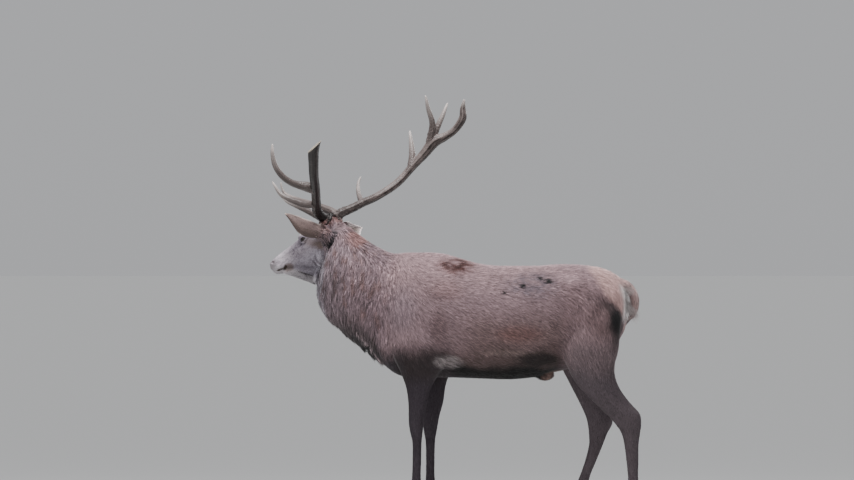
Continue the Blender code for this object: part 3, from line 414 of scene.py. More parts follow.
def tube_faces(rings, sides):
    """Quads between rings that follow one another, with one flat cap at each end."""
    faces = [tuple(reversed(range(sides)))]
    for ring in range(rings - 1):
        for i in range(sides):
            j = (i + 1) % sides
            a, b = ring * sides, (ring + 1) * sides
            faces.append((a + i, a + j, b + j, b + i))
    faces.append(tuple((rings - 1) * sides + i for i in range(sides)))
    return faces


def in_scene(name, data):
    """An object of that name and data, put in the scene."""
    made = bpy.data.objects.new(name, data)
    bpy.context.scene.collection.objects.link(made)
    return made


def in_scene_from(name, shape):
    """An object made of a finished shape, which is freed."""
    mesh = bpy.data.meshes.new(name)
    shape.to_mesh(mesh)
    shape.free()
    return in_scene(name, mesh)


@contextmanager
def reshaping(mesh):
    """The mesh as a shape to edit, which is written back at the end."""
    shape = bmesh.new()
    shape.from_mesh(mesh)
    yield shape
    shape.to_mesh(mesh)
    shape.free()
    mesh.update()


def modified(obj, kind, **settings):
    """Adds a modifier with these settings."""
    modifier = obj.modifiers.new(kind, kind)
    for name, value in settings.items():
        setattr(modifier, name, value)


def solid(name, points, faces):
    """A mesh object with its faces turned outwards."""
    mesh = bpy.data.meshes.new(name)
    mesh.from_pydata([tuple(p) for p in points], [], faces)
    with reshaping(mesh) as shape:
        bmesh.ops.recalc_face_normals(shape, faces=shape.faces)
    return in_scene(name, mesh)


def ring_points(upper, lower, side, half_width, widest, above, below, sides):
    """A closed outline from the upper to the lower end, widest part of the way down."""
    turns = np.arange(sides) * 2 * math.pi / sides
    up, across = np.sin(turns), np.cos(turns)
    power = 2 / np.where(up >= 0, above, below)
    middle = upper + widest * (lower - upper)
    reach = np.where((up >= 0)[:, None], upper - middle, middle - lower)
    height = np.sign(up) * np.abs(up) ** power
    width = np.sign(across) * np.abs(across) ** power * half_width
    return middle + height[:, None] * reach + width[:, None] * np.array(side)


def loft(name, rows, sides=24, steps=4):
    """rows: (upper xyz, lower xyz, side xyz, half width, widest, above, below), one for each ring."""
    filled = smooth_rows(rows, steps)
    points = [ring_points(r[0:3], r[3:6], r[6:9], *r[9:13], sides) for r in filled]
    return solid(name, np.vstack(points), tube_faces(len(filled), sides))


def ball(name, centre, half_sizes, turn=None, segments=20):
    """An ellipsoid."""
    shape = bmesh.new()
    bmesh.ops.create_uvsphere(shape, u_segments=segments, v_segments=segments * 2 // 3, radius=1)
    stretch = Matrix.Diagonal((*half_sizes, 1))
    place = Matrix.Translation(centre) @ (turn or Matrix()).to_4x4() @ stretch
    bmesh.ops.transform(shape, matrix=place, verts=shape.verts)
    return in_scene_from(name, shape)


def round_tube(name, rows, sides=16, steps=4):
    """A tube through (x, y, z, radius) rows, with its rings square to its path."""
    filled = smooth_rows(rows, steps)
    path = filled[:, :3]
    along = np.gradient(path, axis=0)
    along /= np.linalg.norm(along, axis=1, keepdims=True)
    side = np.cross(along[0], TUBE_SIDE)
    turns = np.arange(sides) * 2 * math.pi / sides
    points = []
    for centre, way, radius in zip(path, along, filled[:, 3]):
        side = side - way * side.dot(way)
        side /= np.linalg.norm(side)
        other = np.cross(way, side)
        points += [centre + radius * (math.cos(t) * side + math.sin(t) * other) for t in turns]
    return solid(name, points, tube_faces(len(filled), sides))


def head_frame(origin, pitch):
    """Matrix from (forward, left, up) in the head to the stag's frame."""
    forward = Vector((-math.cos(HEAD_YAW), math.sin(HEAD_YAW), 0))
    left = Vector((0, 0, 1)).cross(forward)
    nose = forward * math.cos(pitch) - Vector((0, 0, math.sin(pitch)))
    up = nose.cross(left)
    leaning = left * math.cos(HEAD_ROLL) - up * math.sin(HEAD_ROLL)
    up = up * math.cos(HEAD_ROLL) + left * math.sin(HEAD_ROLL)
    frame = Matrix((nose, leaning, up)).transposed().to_4x4()
    return Matrix.Translation(origin) @ frame


HEAD_FRAME = head_frame(HEAD_AT, HEAD_PITCH)
ANTLER_FRAME = head_frame(ANTLERS_AT, 0.0)
SIGN = {"left": 1, "right": -1}  # of the head's own sideways axis
Y_SIGN = {"left": -1, "right": 1}  # of the stag's y axis


def in_head(point, side="left"):
    """A place given in the head, outward on that side, as a place on the stag."""
    forward, out, up = point
    return HEAD_FRAME @ Vector((forward, SIGN[side] * out, up))


def way_in_head(way, side="left"):
    """A direction given in the head, as a direction on the stag."""
    forward, out, up = way
    return (HEAD_FRAME.to_3x3() @ Vector((forward, SIGN[side] * out, up))).normalized()


def in_antlers(row, side):
    """A ring of an antler, as (x, y, z, radius) on the stag."""
    forward, out, up, radius = row
    return (*(ANTLER_FRAME @ Vector((forward, SIGN[side] * out, up))), radius)


def ear_frame(side):
    """Root of an ear, and the ways it points, opens and widens."""
    root = in_head(EAR_ROOTS[side], side)
    length = way_in_head(EAR_POINTS[side], side)
    opens = way_in_head(EAR_OPENS[side], side)
    opens = (opens - length * opens.dot(length)).normalized()
    return root, length, opens, length.cross(opens)


def ear_axes(side):
    return [np.array(way) for way in ear_frame(side)]


def joined(name, forms):
    """One mesh object that holds all the forms, which are removed."""
    shape = bmesh.new()
    for form in forms:
        shape.from_mesh(form.data)
        bpy.data.objects.remove(form)
    return in_scene_from(name, shape)


def baked(obj):
    """Applies the object's modifiers to its mesh."""
    graph = bpy.context.evaluated_depsgraph_get()
    mesh = bpy.data.meshes.new_from_object(obj.evaluated_get(graph), depsgraph=graph)
    obj.modifiers.clear()
    obj.data = mesh
    return obj


def flood(start, next_to):
    """Everything that can be reached from start, where next_to gives a thing's neighbours."""
    found, todo = {start}, [start]
    while todo:
        fresh = set(next_to(todo.pop())) - found
        found |= fresh
        todo.extend(fresh)
    return found


def without_islands(obj):
    """Keeps only the largest connected piece: the grid can leave crumbs at a thin tip."""
    with reshaping(obj.data) as shape:
        left, largest = set(shape.faces), set()
        while left:
            piece = flood(left.pop(), lambda f: {g for e in f.edges for g in e.link_faces})
            left -= piece
            largest = max(largest, piece, key=len)
        crumbs = [f for f in shape.faces if f not in largest]
        bmesh.ops.delete(shape, geom=crumbs, context="FACES")


def band_across(shape, point, way):
    """The ring of faces that a plane cuts, round the one nearest to point."""
    ahead = {v: (v.co - point).dot(way) > 0 for v in shape.verts}
    split = {f for f in shape.faces if len({ahead[v] for v in f.verts}) == 2}

    def next_in_band(face):
        crossed = [e for e in face.edges if ahead[e.verts[0]] != ahead[e.verts[1]]]
        return {f for e in crossed for f in e.link_faces} & split

    start = min(split, key=lambda f: (f.calc_center_median() - point).length)
    return flood(start, next_in_band)


def cut_short(obj, point, way, seed):
    """Cuts off and loses the piece on the way side of a plane, the one that holds seed."""
    shape = bmesh.new()
    shape.from_mesh(obj.data)
    band = band_across(shape, point, way)
    edges = {e for f in band for e in f.edges}
    verts = {v for f in band for v in f.verts}
    cut = bmesh.ops.bisect_plane(
        shape, geom=[*verts, *edges, *band], dist=1e-6, plane_co=point, plane_no=way
    )
    on_cut = {e for e in cut["geom_cut"] if isinstance(e, bmesh.types.BMEdge)}
    ahead = [f for f in shape.faces if (f.calc_center_median() - point).dot(way) > 0]
    start = min(ahead, key=lambda f: (f.calc_center_median() - seed).length)
    piece = flood(start, lambda f: {g for e in set(f.edges) - on_cut for g in e.link_faces})
    if len(piece) == len(shape.faces):
        raise ValueError("the cut doesn't go all the way through")
    shape.faces.index_update()
    kept = {f.index for f in shape.faces} - {f.index for f in piece}
    obj.data = half_of(shape, kept, -way * GAP / 2)
    shape.free()


def half_of(shape, kept, step):
    """A mesh of the kept faces, closed where they were cut and set back from the cut by step."""
    half = shape.copy()
    lost = [f for f in half.faces if f.index not in kept]
    bmesh.ops.delete(half, geom=lost, context="FACES")
    rim = [e for e in half.edges if e.is_boundary]
    for vert in {v for e in rim for v in e.verts}:
        vert.co += step
    bmesh.ops.holes_fill(half, edges=rim, sides=0)
    bmesh.ops.triangulate(half, faces=[f for f in half.faces if len(f.verts) > 4])
    bmesh.ops.recalc_face_normals(half, faces=half.faces)
    mesh = bpy.data.meshes.new("half")
    half.to_mesh(mesh)
    half.free()
    return mesh


def head_masses(side):
    """Brow, cheek and muzzle of one side."""
    turn = HEAD_FRAME.to_3x3()
    spots = {
        "brow": ((0.130, 0.056, 0.092), (0.034, 0.022, 0.018)),
        "cheek": ((0.080, 0.046, -0.040), (0.066, 0.032, 0.052)),
        "cheekbone": ((0.150, 0.056, 0.046), (0.048, 0.018, 0.016)),
        "lip": ((0.346, 0.020, 0.030), (0.038, 0.017, 0.024)),
        "nostril": ((0.368, 0.018, 0.062), (0.019, 0.014, 0.014)),
    }
    return [
        ball(f"{name}_{side}", in_head(at, side), sizes, turn)
        for name, (at, sizes) in spots.items()
    ]


def ear_root(side):
    """The stalk that joins an ear to the head."""
    root, length, _, _ = ear_frame(side)
    inside = root - length * 0.045
    rows = [(*inside, 0.032), (*root, 0.029), (*(root + length * 0.012), 0.027)]
    return round_tube(f"ear_root_{side}_form", rows)


def tail():
    """The tail, set in by the coat's depth."""
    rings = []
    for x, z, lean, width, deep in TAIL:
        width, deep = max(width - TRUNK_COAT, 0.4 * width), max(deep - TRUNK_COAT, 0.4 * deep)
        dx, dz = deep * math.cos(math.radians(lean)), deep * math.sin(math.radians(lean))
        rings.append((x + dx, 0, z + dz, x - dx, 0, z - dz, 0, 1, 0, width, 0.5, 2.0, 2.0))
    return loft("tail", rings, sides=10, steps=2)


# ---------------------------------------------------------------- small sums
def soft(value, low, high):
    """0 below low, 1 above high, and a smooth rise between."""
    share = np.clip((value - low) / (high - low), 0, 1)
    return share * share * (3 - 2 * share)


def falls(value, low, high):
    """1 below low, 0 above high, and a smooth fall between."""
    return 1 - soft(value, low, high)


def lengths(ways):
    return np.linalg.norm(ways, axis=-1)


def unit(ways):
    return ways / np.maximum(np.linalg.norm(ways, axis=-1, keepdims=True), 1e-9)


def shade(red, green, blue):
    """A colour as it looks on a screen, 0 to 255, as light."""
    value = np.array((red, green, blue)) / 255
    return np.where(value <= 0.04045, value / 12.92, ((value + 0.055) / 1.055) ** 2.4)


def off_path(points, path):
    """Distance of each point from a line through the path's points, and the share along it."""
    path = np.array(path, float)
    nearest = np.full(len(points), 1e9)
    share = np.zeros(len(points))
    for i, (a, b) in enumerate(zip(path, path[1:])):
        leg = b - a
        t = np.clip((points - a) @ leg / max(leg @ leg, 1e-12), 0, 1)
        away = lengths(points - a - t[:, None] * leg)
        closer = away < nearest
        nearest = np.where(closer, away, nearest)
        share = np.where(closer, (i + t) / (len(path) - 1), share)
    return nearest, share


HEAD_AXES = np.array(HEAD_FRAME.to_3x3())
HEAD_ORIGIN = np.array(HEAD_FRAME.translation)


def head_places(points):
    """Points of the stag's frame as (forward, left, up) in the head."""
    return (points - HEAD_ORIGIN) @ HEAD_AXES


def mirrored(places):
    """The same places with the sideways part taken as outward."""
    return np.column_stack([places[:, 0], np.abs(places[:, 1]), places[:, 2]])


def mesh_points(obj):
    points = np.empty(len(obj.data.vertices) * 3)
    obj.data.vertices.foreach_get("co", points)
    return points.reshape(-1, 3)


def mesh_normals(obj):
    normals = np.empty(len(obj.data.vertices) * 3, np.float32)
    obj.data.vertex_normals.foreach_get("vector", normals)
    return normals.reshape(-1, 3).astype(float)


def set_points(obj, points):
    obj.data.vertices.foreach_set("co", points.ravel())
    obj.data.update()


def triangles(obj):
    obj.data.calc_loop_triangles()
    corners = np.empty(len(obj.data.loop_triangles) * 3, np.int32)
    obj.data.loop_triangles.foreach_get("vertices", corners)
    return corners.reshape(-1, 3)


def grain(points, size, seed=0.0):
    """Smooth noise, about -1 to 1, with lumps of that size."""
    at = points / size + seed
    return np.array([noise.noise(p) for p in at.tolist()])


# ---------------------------------------------------------------- the skin
TRUNK_COAT = 0.006
LEG_COAT = 0.0025
HEAD_COAT = 0.0015


def nearer(first, second, step):
    """The point first moved by step towards second."""
    first, second = np.array(first, float), np.array(second, float)
    return first + (second - first) / np.linalg.norm(second - first) * step


def ring_in(upper, lower, side, width, rest, above, below=None, beside=None):
    """One ring for loft, set in by the coat's depth, which is the same all round if given once."""
    below, beside = below or above, beside or above
    inner = nearer(upper, lower, above), nearer(lower, upper, below)
    return (*inner[0], *inner[1], *side, max(width - beside, 0.3 * width), *rest)


def stump_ends(side):
    """Where an antler's stump starts in the head, and the middle of its burr."""
    return in_head((0.015, 0.020, 0.050), side), Vector(in_antlers(BEAM[side][0], side)[:3])


def stump(side):
    """What carries an antler, ending inside its burr."""
    root, burr = stump_ends(side)
    rows = [(*root, 0.030), (*root.lerp(burr, 0.6), 0.028), (*root.lerp(burr, 0.9), 0.025), (*burr, 0.018)]
    return round_tube(f"stump_{side}_form", rows)


def skin_forms():
    """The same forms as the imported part's flesh, set in by the depth of the coat."""
    across = (0.0, 1.0, 0.0)
    rows = [
        ring_in((x, 0, top), (x, 0, low), across, width, rest, TRUNK_COAT)
        for x, top, low, width, *rest in TRUNK
    ]
    forms = [loft("trunk_form", rows, sides=40, steps=6)]
    rows = [
        ring_in((ux, y, uz), (lx, y, lz), across, width, rest[:3], *rest[3:])
        for ux, uz, lx, lz, y, width, *rest in NECK
    ]
    forms.append(loft("neck_form", rows, sides=40, steps=6))
    rows = []
    for ux, uz, lx, lz, y, width, share, narrow in THROAT:
        low = np.array((ux, y, uz)) + share * np.array((lx - ux, 0, lz - uz))
        rows.append((ux, y, uz, *low, *across, width * share * narrow, 0.5, 2.0, 2.0))
    forms.append(loft("throat_form", rows, sides=20))
    aside = tuple(way_in_head((0, 1, 0)))
    rows = [
        ring_in(in_head((x, 0, top)), in_head((x, 0, low)), aside, width, rest, HEAD_COAT)
        for x, top, low, width, *rest in HEAD
    ]
    forms.append(loft("head_form", rows, sides=40, steps=6))
    for side, sign in Y_SIGN.items():
        for kind, leg in LEGS.items():
            rows = [
                ring_in((front, sign * y, z), (back, sign * y, z), across, width, (0.5, *rest), LEG_COAT)
                for z, front, back, y, width, *rest in leg[side]
            ]
            forms.append(loft(f"{kind}_{side}_form", rows, sides=28, steps=6))
        for i, (x, z, y, *sizes) in enumerate(SIDE_MASSES):
            sizes = [size - TRUNK_COAT for size in sizes]
            forms.append(ball(f"mass_{side}_{i}", (x, sign * y, z), sizes, segments=32))
        forms += [ear_root(side), stump(side), *head_masses(side)]
    for i, (x, z, y, *sizes) in enumerate(MIDDLE_MASSES):
        sizes = [size - TRUNK_COAT for size in sizes]
        forms.append(ball(f"mass_{i}", (x, y, z), sizes, segments=24))
    forms.append(tail())
    return forms


def fused(obj, voxel, rounds):
    """The forms made one skin on a voxel grid, then eased where they meet."""
    modified(obj, "REMESH", mode="VOXEL", voxel_size=voxel)
    modified(obj, "CORRECTIVE_SMOOTH", iterations=rounds, use_only_smooth=True, factor=0.5)
    return baked(obj)


EAR_WALL = 0.0058  # thinnest that an ear's skin gets, fur apart


def fine_ear(side, arc_points=26):
    """The cup of an ear, rooted inside the head and rolled at its edges."""
    root, length, opens, width = ear_frame(side)
    lower = width * math.copysign(1, -width.z)
    points = []
    sections = smooth_rows(EAR_SECTIONS, 8)
    for share, half, arc, thick, sag in sections:
        base = root + length * ((share * 1.04 - 0.04) * EAR_LENGTH) + lower * sag
        spread = math.radians(arc) / 2
        radius = half / math.sin(min(spread, math.pi / 2))
        thick = max(thick - 0.001, EAR_WALL) if share < 0.9 else thick
        turns = np.linspace(-spread, spread, arc_points)
        middle = base + opens * radius * EAR_CUP
        rim = 1 - 0.5 * np.abs(np.linspace(-1, 1, arc_points)) ** 6
        for order, outer in ((1, True), (-1, False)):
            for t, fine in zip(turns[::order], rim[::order]):
                r = radius - 0.0008 if outer else radius - 0.0008 - thick * fine
                r = r if outer else max(r, radius * 0.25)
                points.append(middle + width * (r * math.sin(t)) - opens * (r * math.cos(t)))
    return solid(f"ear_{side}", points, tube_faces(len(sections), 2 * arc_points))


def united(obj, other):
    """obj with other joined to it as one closed skin; other is removed."""
    modified(obj, "BOOLEAN", operation="UNION", solver="MANIFOLD", object=other)
    baked(obj)
    bpy.data.objects.remove(other)


def trimmed_feet(obj):
    """Cuts the legs off at the coronets, where the claws begin, and closes them."""
    sole = (0, 0, CORONET - 0.001)
    with reshaping(obj.data) as shape:
        low = [f for f in shape.faces if min(v.co.z for v in f.verts) < CORONET + 0.02]
        around = {v for f in low for v in f.verts} | {e for f in low for e in f.edges} | set(low)
        bmesh.ops.bisect_plane(
            shape, geom=list(around), plane_co=sole, plane_no=(0, 0, -1), clear_outer=True
        )
        rim = [e for e in shape.edges if e.is_boundary]
        bmesh.ops.holes_fill(shape, edges=rim, sides=0)


def finer(obj, chosen, rounds=2):
    """Splits the faces whose middle is chosen into four, and eases their points."""
    with reshaping(obj.data) as shape:
        picked = chosen(np.array([f.calc_center_median() for f in shape.faces]))
        faces = [f for f, wanted in zip(shape.faces, picked) if wanted]
        edges = list({e for f in faces for e in f.edges})
        bmesh.ops.subdivide_edges(shape, edges=edges, cuts=1, use_grid_fill=True)
        near = chosen(np.array([v.co for v in shape.verts]))
        verts = [v for v, wanted in zip(shape.verts, near) if wanted]
        for _ in range(rounds):
            bmesh.ops.smooth_vert(
                shape, verts=verts, factor=0.5, use_axis_x=True, use_axis_y=True, use_axis_z=True
            )


MOUTH = [
    (0.396, 0.000, 0.040),
    (0.387, 0.014, 0.037),
    (0.366, 0.026, 0.027),
    (0.344, 0.032, 0.018),
    (0.322, 0.036, 0.013),
    (0.306, 0.038, 0.014),
]
GLAND_SLIT = [(0.158, 0.060, 0.062), (0.182, 0.053, 0.050)]
# What is carved into the head: a line (forward, outward, up), its width and depth
CARVING = [
    # slit of the gland before the eye
    ([(0.154, 0.062, 0.064), (0.168, 0.057, 0.055), (0.184, 0.052, 0.048)], 0.0050, -0.0060),
    ([(0.150, 0.066, 0.058), (0.170, 0.060, 0.046), (0.188, 0.054, 0.040)], 0.0050, 0.0020),
    # nostril, with its raised wing
    ([(0.372, 0.020, 0.075), (0.366, 0.024, 0.067), (0.356, 0.028, 0.062)], 0.0046, -0.0100),
    ([(0.370, 0.025, 0.081), (0.356, 0.030, 0.075), (0.346, 0.031, 0.066)], 0.0055, 0.0024),
    # groove from the nose down to the lip
    ([(0.395, 0.000, 0.062), (0.395, 0.000, 0.044)], 0.0022, -0.0025),
    # mouth
    (MOUTH, 0.0026, -0.0065),
    # the blunt front of the upper lip
    ([(0.388, 0.000, 0.050), (0.380, 0.016, 0.046)], 0.0110, 0.0050),
    # fullness of the upper lip and of the chin
    ([(0.382, 0.014, 0.048), (0.352, 0.032, 0.032), (0.325, 0.037, 0.024)], 0.0080, 0.0022),
    ([(0.376, 0.010, 0.020), (0.352, 0.020, 0.006)], 0.0090, 0.0015),
    # brow, cheekbone, hollow of the temple, edge of the jaw
    ([(0.098, 0.066, 0.096), (0.126, 0.066, 0.104), (0.156, 0.060, 0.098)], 0.0095, 0.0045),
    ([(0.092, 0.078, 0.044), (0.150, 0.068, 0.040), (0.215, 0.052, 0.034)], 0.0110, 0.0028),
    ([(0.086, 0.074, 0.074)], 0.0150, -0.0045),
    ([(0.230, 0.044, 0.062), (0.290, 0.038, 0.058)], 0.0130, -0.0025),
    ([(0.262, 0.036, -0.030), (0.187, 0.046, -0.078)], 0.0060, -0.0025),
]
LID_THICK = 0.0019
EYE_FACES = (0.02, 0.99, 0.14)  # which way an eye looks, in the head
EYE_ALONG = (0.99, -0.02, -0.14)  # its inner corner lies this way
EYE_HALF_LENGTH = 0.0145
LID_RISE = {"upper": 0.0082, "lower": 0.0062}


def eye_axes(side):
    """Centre, way out, way along and way up of an eye, in the stag's frame."""
    out = np.array(way_in_head(EYE_FACES, side))
    along = np.array(way_in_head(EYE_ALONG, side))
    along = unit(along - out * (along @ out))
    up = np.cross(out, along) * (1 if side == "right" else -1)
    return np.array(in_head(EYE_AT, side)), out, along, up


def beyond_lids(points, side):
    """How far each point lies outside the eye's opening, along the ball, and the way to it."""
    centre, out, along, up = eye_axes(side)
    ray = points - centre
    reach = lengths(ray)
    way = ray / np.maximum(reach, 1e-6)[:, None]
    across = EYE_RADIUS * np.arcsin(np.clip(way @ along, -1, 1))
    above = EYE_RADIUS * np.arcsin(np.clip(way @ up, -1, 1))
    span = 1 - np.clip(np.abs(across / EYE_HALF_LENGTH), 0, 1.6) ** 2.2
    outside = np.maximum(above - LID_RISE["upper"] * span, -LID_RISE["lower"] * span - above)
    return outside, way, reach, way @ out


def carve(obj):
    """Nostrils, mouth, glands, brows and jaw; then the lids round the eyes."""
    points, normals = mesh_points(obj), mesh_normals(obj)
    places = mirrored(head_places(points))
    depth = np.zeros(len(points))
    for path, width, amount in CARVING:
        path = path if len(path) > 1 else [path[0], path[0]]
        away, share = off_path(places, path)
        taper = 1 if len(path) == 2 else 1 - 0.55 * np.abs(2 * share - 1) ** 3
        depth += amount * taper * np.exp(-((away / width) ** 2))
    points += normals * depth[:, None]
    for side in SIGN:
        centre = eye_axes(side)[0]
        outside, way, reach, facing = beyond_lids(points, side)
        near = (facing > 0.15) & (reach < EYE_RADIUS * 2.2)
        lid = EYE_RADIUS + LID_THICK - 0.0007 * np.exp(-((outside - 0.0062) / 0.0016) ** 2)
        fade = soft(outside, 0.004, 0.013)
        shaped = lid * (1 - fade) + np.maximum(reach, lid) * fade
        opened = soft(outside, -0.0009, 0.0004)
        target = (EYE_RADIUS - 0.0035) * (1 - opened) + shaped * opened
        points[near] = centre + (way * target[:, None])[near]
    set_points(obj, points)


def head_region(points):
    """The head from the forehead forward."""
    places = head_places(points)
    forward, out, up = places.T
    return (forward > 0.03) & (forward < 0.45) & (np.abs(out) < 0.11) & (up > -0.11) & (up < 0.13)


def eye_or_muzzle(points):
    """What is finest on the head."""
    places = mirrored(head_places(points))
    eye = lengths(places - np.array(EYE_AT)) < 0.034
    muzzle = (places[:, 0] > 0.295) & (places[:, 0] < 0.45) & (np.abs(places[:, 2]) < 0.12)
    return eye | muzzle


def skin():
    """The flesh and both ears as one closed skin."""
    body = fused(joined("skin", skin_forms()), SKIN_VOXEL, 8)
    trimmed_feet(body)
    for side in SIGN:
        united(body, fine_ear(side))
    finer(body, head_region)
    finer(body, eye_or_muzzle, rounds=1)
    carve(body)
    return body


# ---------------------------------------------------------------- where things are
def polyline_in_profile(points, path):
    """Distance of points from a line through (x, z) places, seen from the side."""
    flat = np.column_stack([points[:, 0], np.zeros(len(points)), points[:, 2]])
    return off_path(flat, [(x, 0, z) for x, z in path])


# Lines seen from the side, as x, z
SHOULDER_FRONT = [(-0.455, 0.900), (-0.443, 0.879), (-0.407, 0.838), (-0.371, 0.766), (-0.365, 0.735)]
# where the painted shadow runs below the pale rump and down behind the thigh
THIGH_SHADOW_LINE = [(0.62, 1.035), (0.674, 1.018), (0.722, 0.985), (0.750, 0.94), (0.755, 0.871), (0.742, 0.79)]
FRONT_OF_NECK = [(row[2], row[3]) for row in NECK[1:]]
TAIL_LINE = [(row[0], row[1]) for row in TAIL]


def from_throat(points):
    """Distance from the front of the neck, seen from the side."""
    return polyline_in_profile(points, FRONT_OF_NECK)[0]


def regions(points):
    """How far each point belongs to each part of the coat, 0 to 1."""
    x, y, z = points.T
    places = mirrored(head_places(points))
    forward, _, up = places.T
    part = {}
    ear = np.zeros(len(points))
    for side in SIGN:
        root, length, _, _ = ear_axes(side)
        share = (points - root) @ length / EAR_LENGTH
        away = lengths(points - root - np.outer(share * EAR_LENGTH, length))
        ear = np.maximum(ear, soft(share, 0.02, 0.12) * (away < 0.062) * (share < 1.2))
    behind = 0.046 + 0.80 * np.maximum(-0.030 - up, 0)
    head = soft(forward - behind, -0.014, 0.014) * (up > -0.2) * (forward < 0.5)
    head *= (z > 0.95) * (x < -0.5)
    part["ear"] = ear
    part["head"] = head * (1 - ear)
    rest = (1 - ear) * (1 - head)
    crown = soft(up + 0.35 * forward, 0.045, 0.075) * (forward > -0.12) * (x < -0.5)
    part["crown"] = rest * crown
    rest = rest * (1 - crown)
    neck = soft(-x, 0.27, 0.40) * soft(z, 0.70, 0.80)
    near_front = from_throat(points)
    mane = falls(near_front + 0.25 * np.abs(y) - 0.02, 0.045, 0.110)
    mane = mane * soft(-x, 0.26, 0.34)
    part["mane"] = rest * neck * mane
    part["neck"] = rest * neck * (1 - mane)
    rest = rest * (1 - neck)
    near_tail, _ = polyline_in_profile(points, TAIL_LINE)
    tail_part = falls(near_tail, 0.034, 0.046) * (x > 0.79) * (np.abs(y) < 0.045)
    part["tail"] = rest * tail_part
    rest = rest * (1 - tail_part)
    legs = falls(z, 0.60, 0.70)
    part["leg"] = rest * legs
    rest = rest * (1 - legs)
    part["trunk"] = rest
    return part


def burr_ruff(points, side):
    """How far each point belongs to the ruff of hair round an antler's stump, and the way it stands."""
    root, burr = (np.array(end) for end in stump_ends(side))
    rising = unit(burr - root)
    along = (points - burr) @ rising
    away = lengths(points - burr - along[:, None] * rising)
    top = 0.004 if side == "left" else -0.022
    ruff = falls(away, 0.040, 0.060) * soft(along, -0.060, -0.035)
    return ruff * falls(along, top - 0.004, top), rising


def lie_of_coat(points, normals, part):
    """Which way the hair runs, along the skin."""
    x, _, z = points.T
    count = len(points)
    head_back = -HEAD_AXES[:, 0]
    ways = np.zeros((count, 3))
    flank = falls(z, 0.95, 1.18)
    haunch = soft(x, 0.42, 0.62) * falls(z, 0.98, 1.10)
    rump = soft(x, 0.60, 0.80)
    chest = soft(-x, 0.05, 0.30)
    trunk = np.column_stack(
        [
            0.95 - 0.45 * haunch - 0.35 * rump - 0.75 * chest,
            np.zeros(count),
            -0.15 - 0.38 * flank - 0.75 * haunch - 0.75 * rump - 0.60 * chest,
        ]
    )
    under = soft(-normals[:, 2], 0.45, 0.85)
    trunk = trunk * (1 - under)[:, None] + np.outer(under, (0.95, 0, -0.1))
    ways += part["trunk"][:, None] * trunk
    rear = soft(x, -0.62, -0.40)
    neck = np.column_stack([0.02 - 0.28 * rear, np.zeros(count), -np.ones(count)])
    crest = soft(normals[:, 2], 0.35, 0.80)
    neck = neck * (1 - crest)[:, None] + np.outer(crest, (0.80, 0, -0.60))
    ways += (part["neck"] + part["mane"])[:, None] * neck
    ways += part["mane"][:, None] * np.array((-0.12, 0, -0.3))
    ways += part["leg"][:, None] * np.array((0.06, 0, -1.0))
    ways += part["tail"][:, None] * np.array((0.0, 0, -1.0))
    places = head_places(points)
    cheek = soft(-places[:, 2], -0.02, 0.08)
    face = head_back + np.outer(0.55 * cheek, (0, 0, -1))
    hanging = (under_jaw(places) * falls(places[:, 0], 0.19, 0.25))[:, None]
    face = face * (1 - hanging) + hanging * np.array((-0.10, 0, -1.0))
    ways += part["head"][:, None] * face
    ways += part["crown"][:, None] * (head_back + np.array((0.35, 0, -0.15)))
    for side in SIGN:
        round_burr, rising = burr_ruff(points, side)
        ways = ways * (1 - round_burr)[:, None] + np.outer(round_burr, rising)
    for side in SIGN:
        root, length, _, _ = ear_axes(side)
        own = lengths(points - root - length * EAR_LENGTH / 2) < 0.15
        ways += (part["ear"] * own)[:, None] * length
    ways -= normals * (ways * normals).sum(1)[:, None]
    return unit(ways)


# ---------------------------------------------------------------- markings
BACK = shade(153, 126, 129)
SHOULDER = shade(136, 113, 117)
FLANK = shade(120, 98, 98)
# darker hair low on the flanks, with painted shade
LOW_FLANK_AND_SHADE = shade(85, 69, 68)
# dark hair of the belly, made darker still as painted shadow under the body
BELLY_AND_SHADOW = shade(7, 6, 5)
HAUNCH = shade(133, 109, 112)
# painted shadow behind the thigh
THIGH_SHADOW = shade(19, 17, 19)
CROUP = shade(150, 124, 128)
RUMP = shade(196, 160, 156)
RUMP_EDGE = shade(246, 240, 240)
TAIL_TAN = shade(150, 126, 124)
FORELEG_BROWN = shade(54, 47, 53)
HINDLEG_BROWN = shade(78, 69, 73)
NECK_FRONT = shade(138, 120, 127)
NECK_REAR = shade(118, 98, 104)
NECK_RED = shade(110, 84, 82)
MANE_LOW = shade(74, 64, 66)
# the mane's dark edge, and painted shade ahead of the shoulder
MANE_EDGE_AND_SHADE = shade(28, 25, 26)
NAPE = shade(110, 87, 90)
CROWN = shade(106, 77, 75)
WITHERS_PATCH = shade(60, 30, 27)
MUD = shade(113, 98, 105)
MUD_CLOT = shade(18, 16, 18)
ELBOW_TUFT = shade(150, 140, 140)
SHEATH = shade(112, 90, 84)
FACE = shade(150, 141, 149)
MUZZLE = shade(188, 178, 186)
NOSE = shade(96, 88, 90)
LIPS = shade(52, 40, 34)
CHEEK = shade(142, 135, 144)
CHEEK_BACK = shade(166, 160, 170)
BROWN_BAND = shade(92, 76, 70)
FLANK_RED = shade(122, 84, 78)
SHOULDER_GREY = shade(144, 125, 132)
# painted shade in the hollows of the body
RIB_SHADOW = shade(88, 68, 68)
RIB_PALE = shade(126, 108, 104)
# painted shade on the lower half of an ear, and its dark mottles
EAR_DARK_AND_SHADE = shade(66, 54, 50)
FACE_FLECK = shade(88, 78, 92)
CHEEK_GAP = shade(92, 84, 92)
CREST_DARK = shade(74, 60, 66)
# painted shadow over the elbow
ELBOW_SHADOW = shade(40, 30, 30)
# dark hair and painted shadow below the ear's root
EAR_ROOT_DARK_AND_SHADOW = shade(16, 14, 18)
JAW_UNDER = shade(156, 150, 154)
EAR_BACK = shade(142, 122, 118)
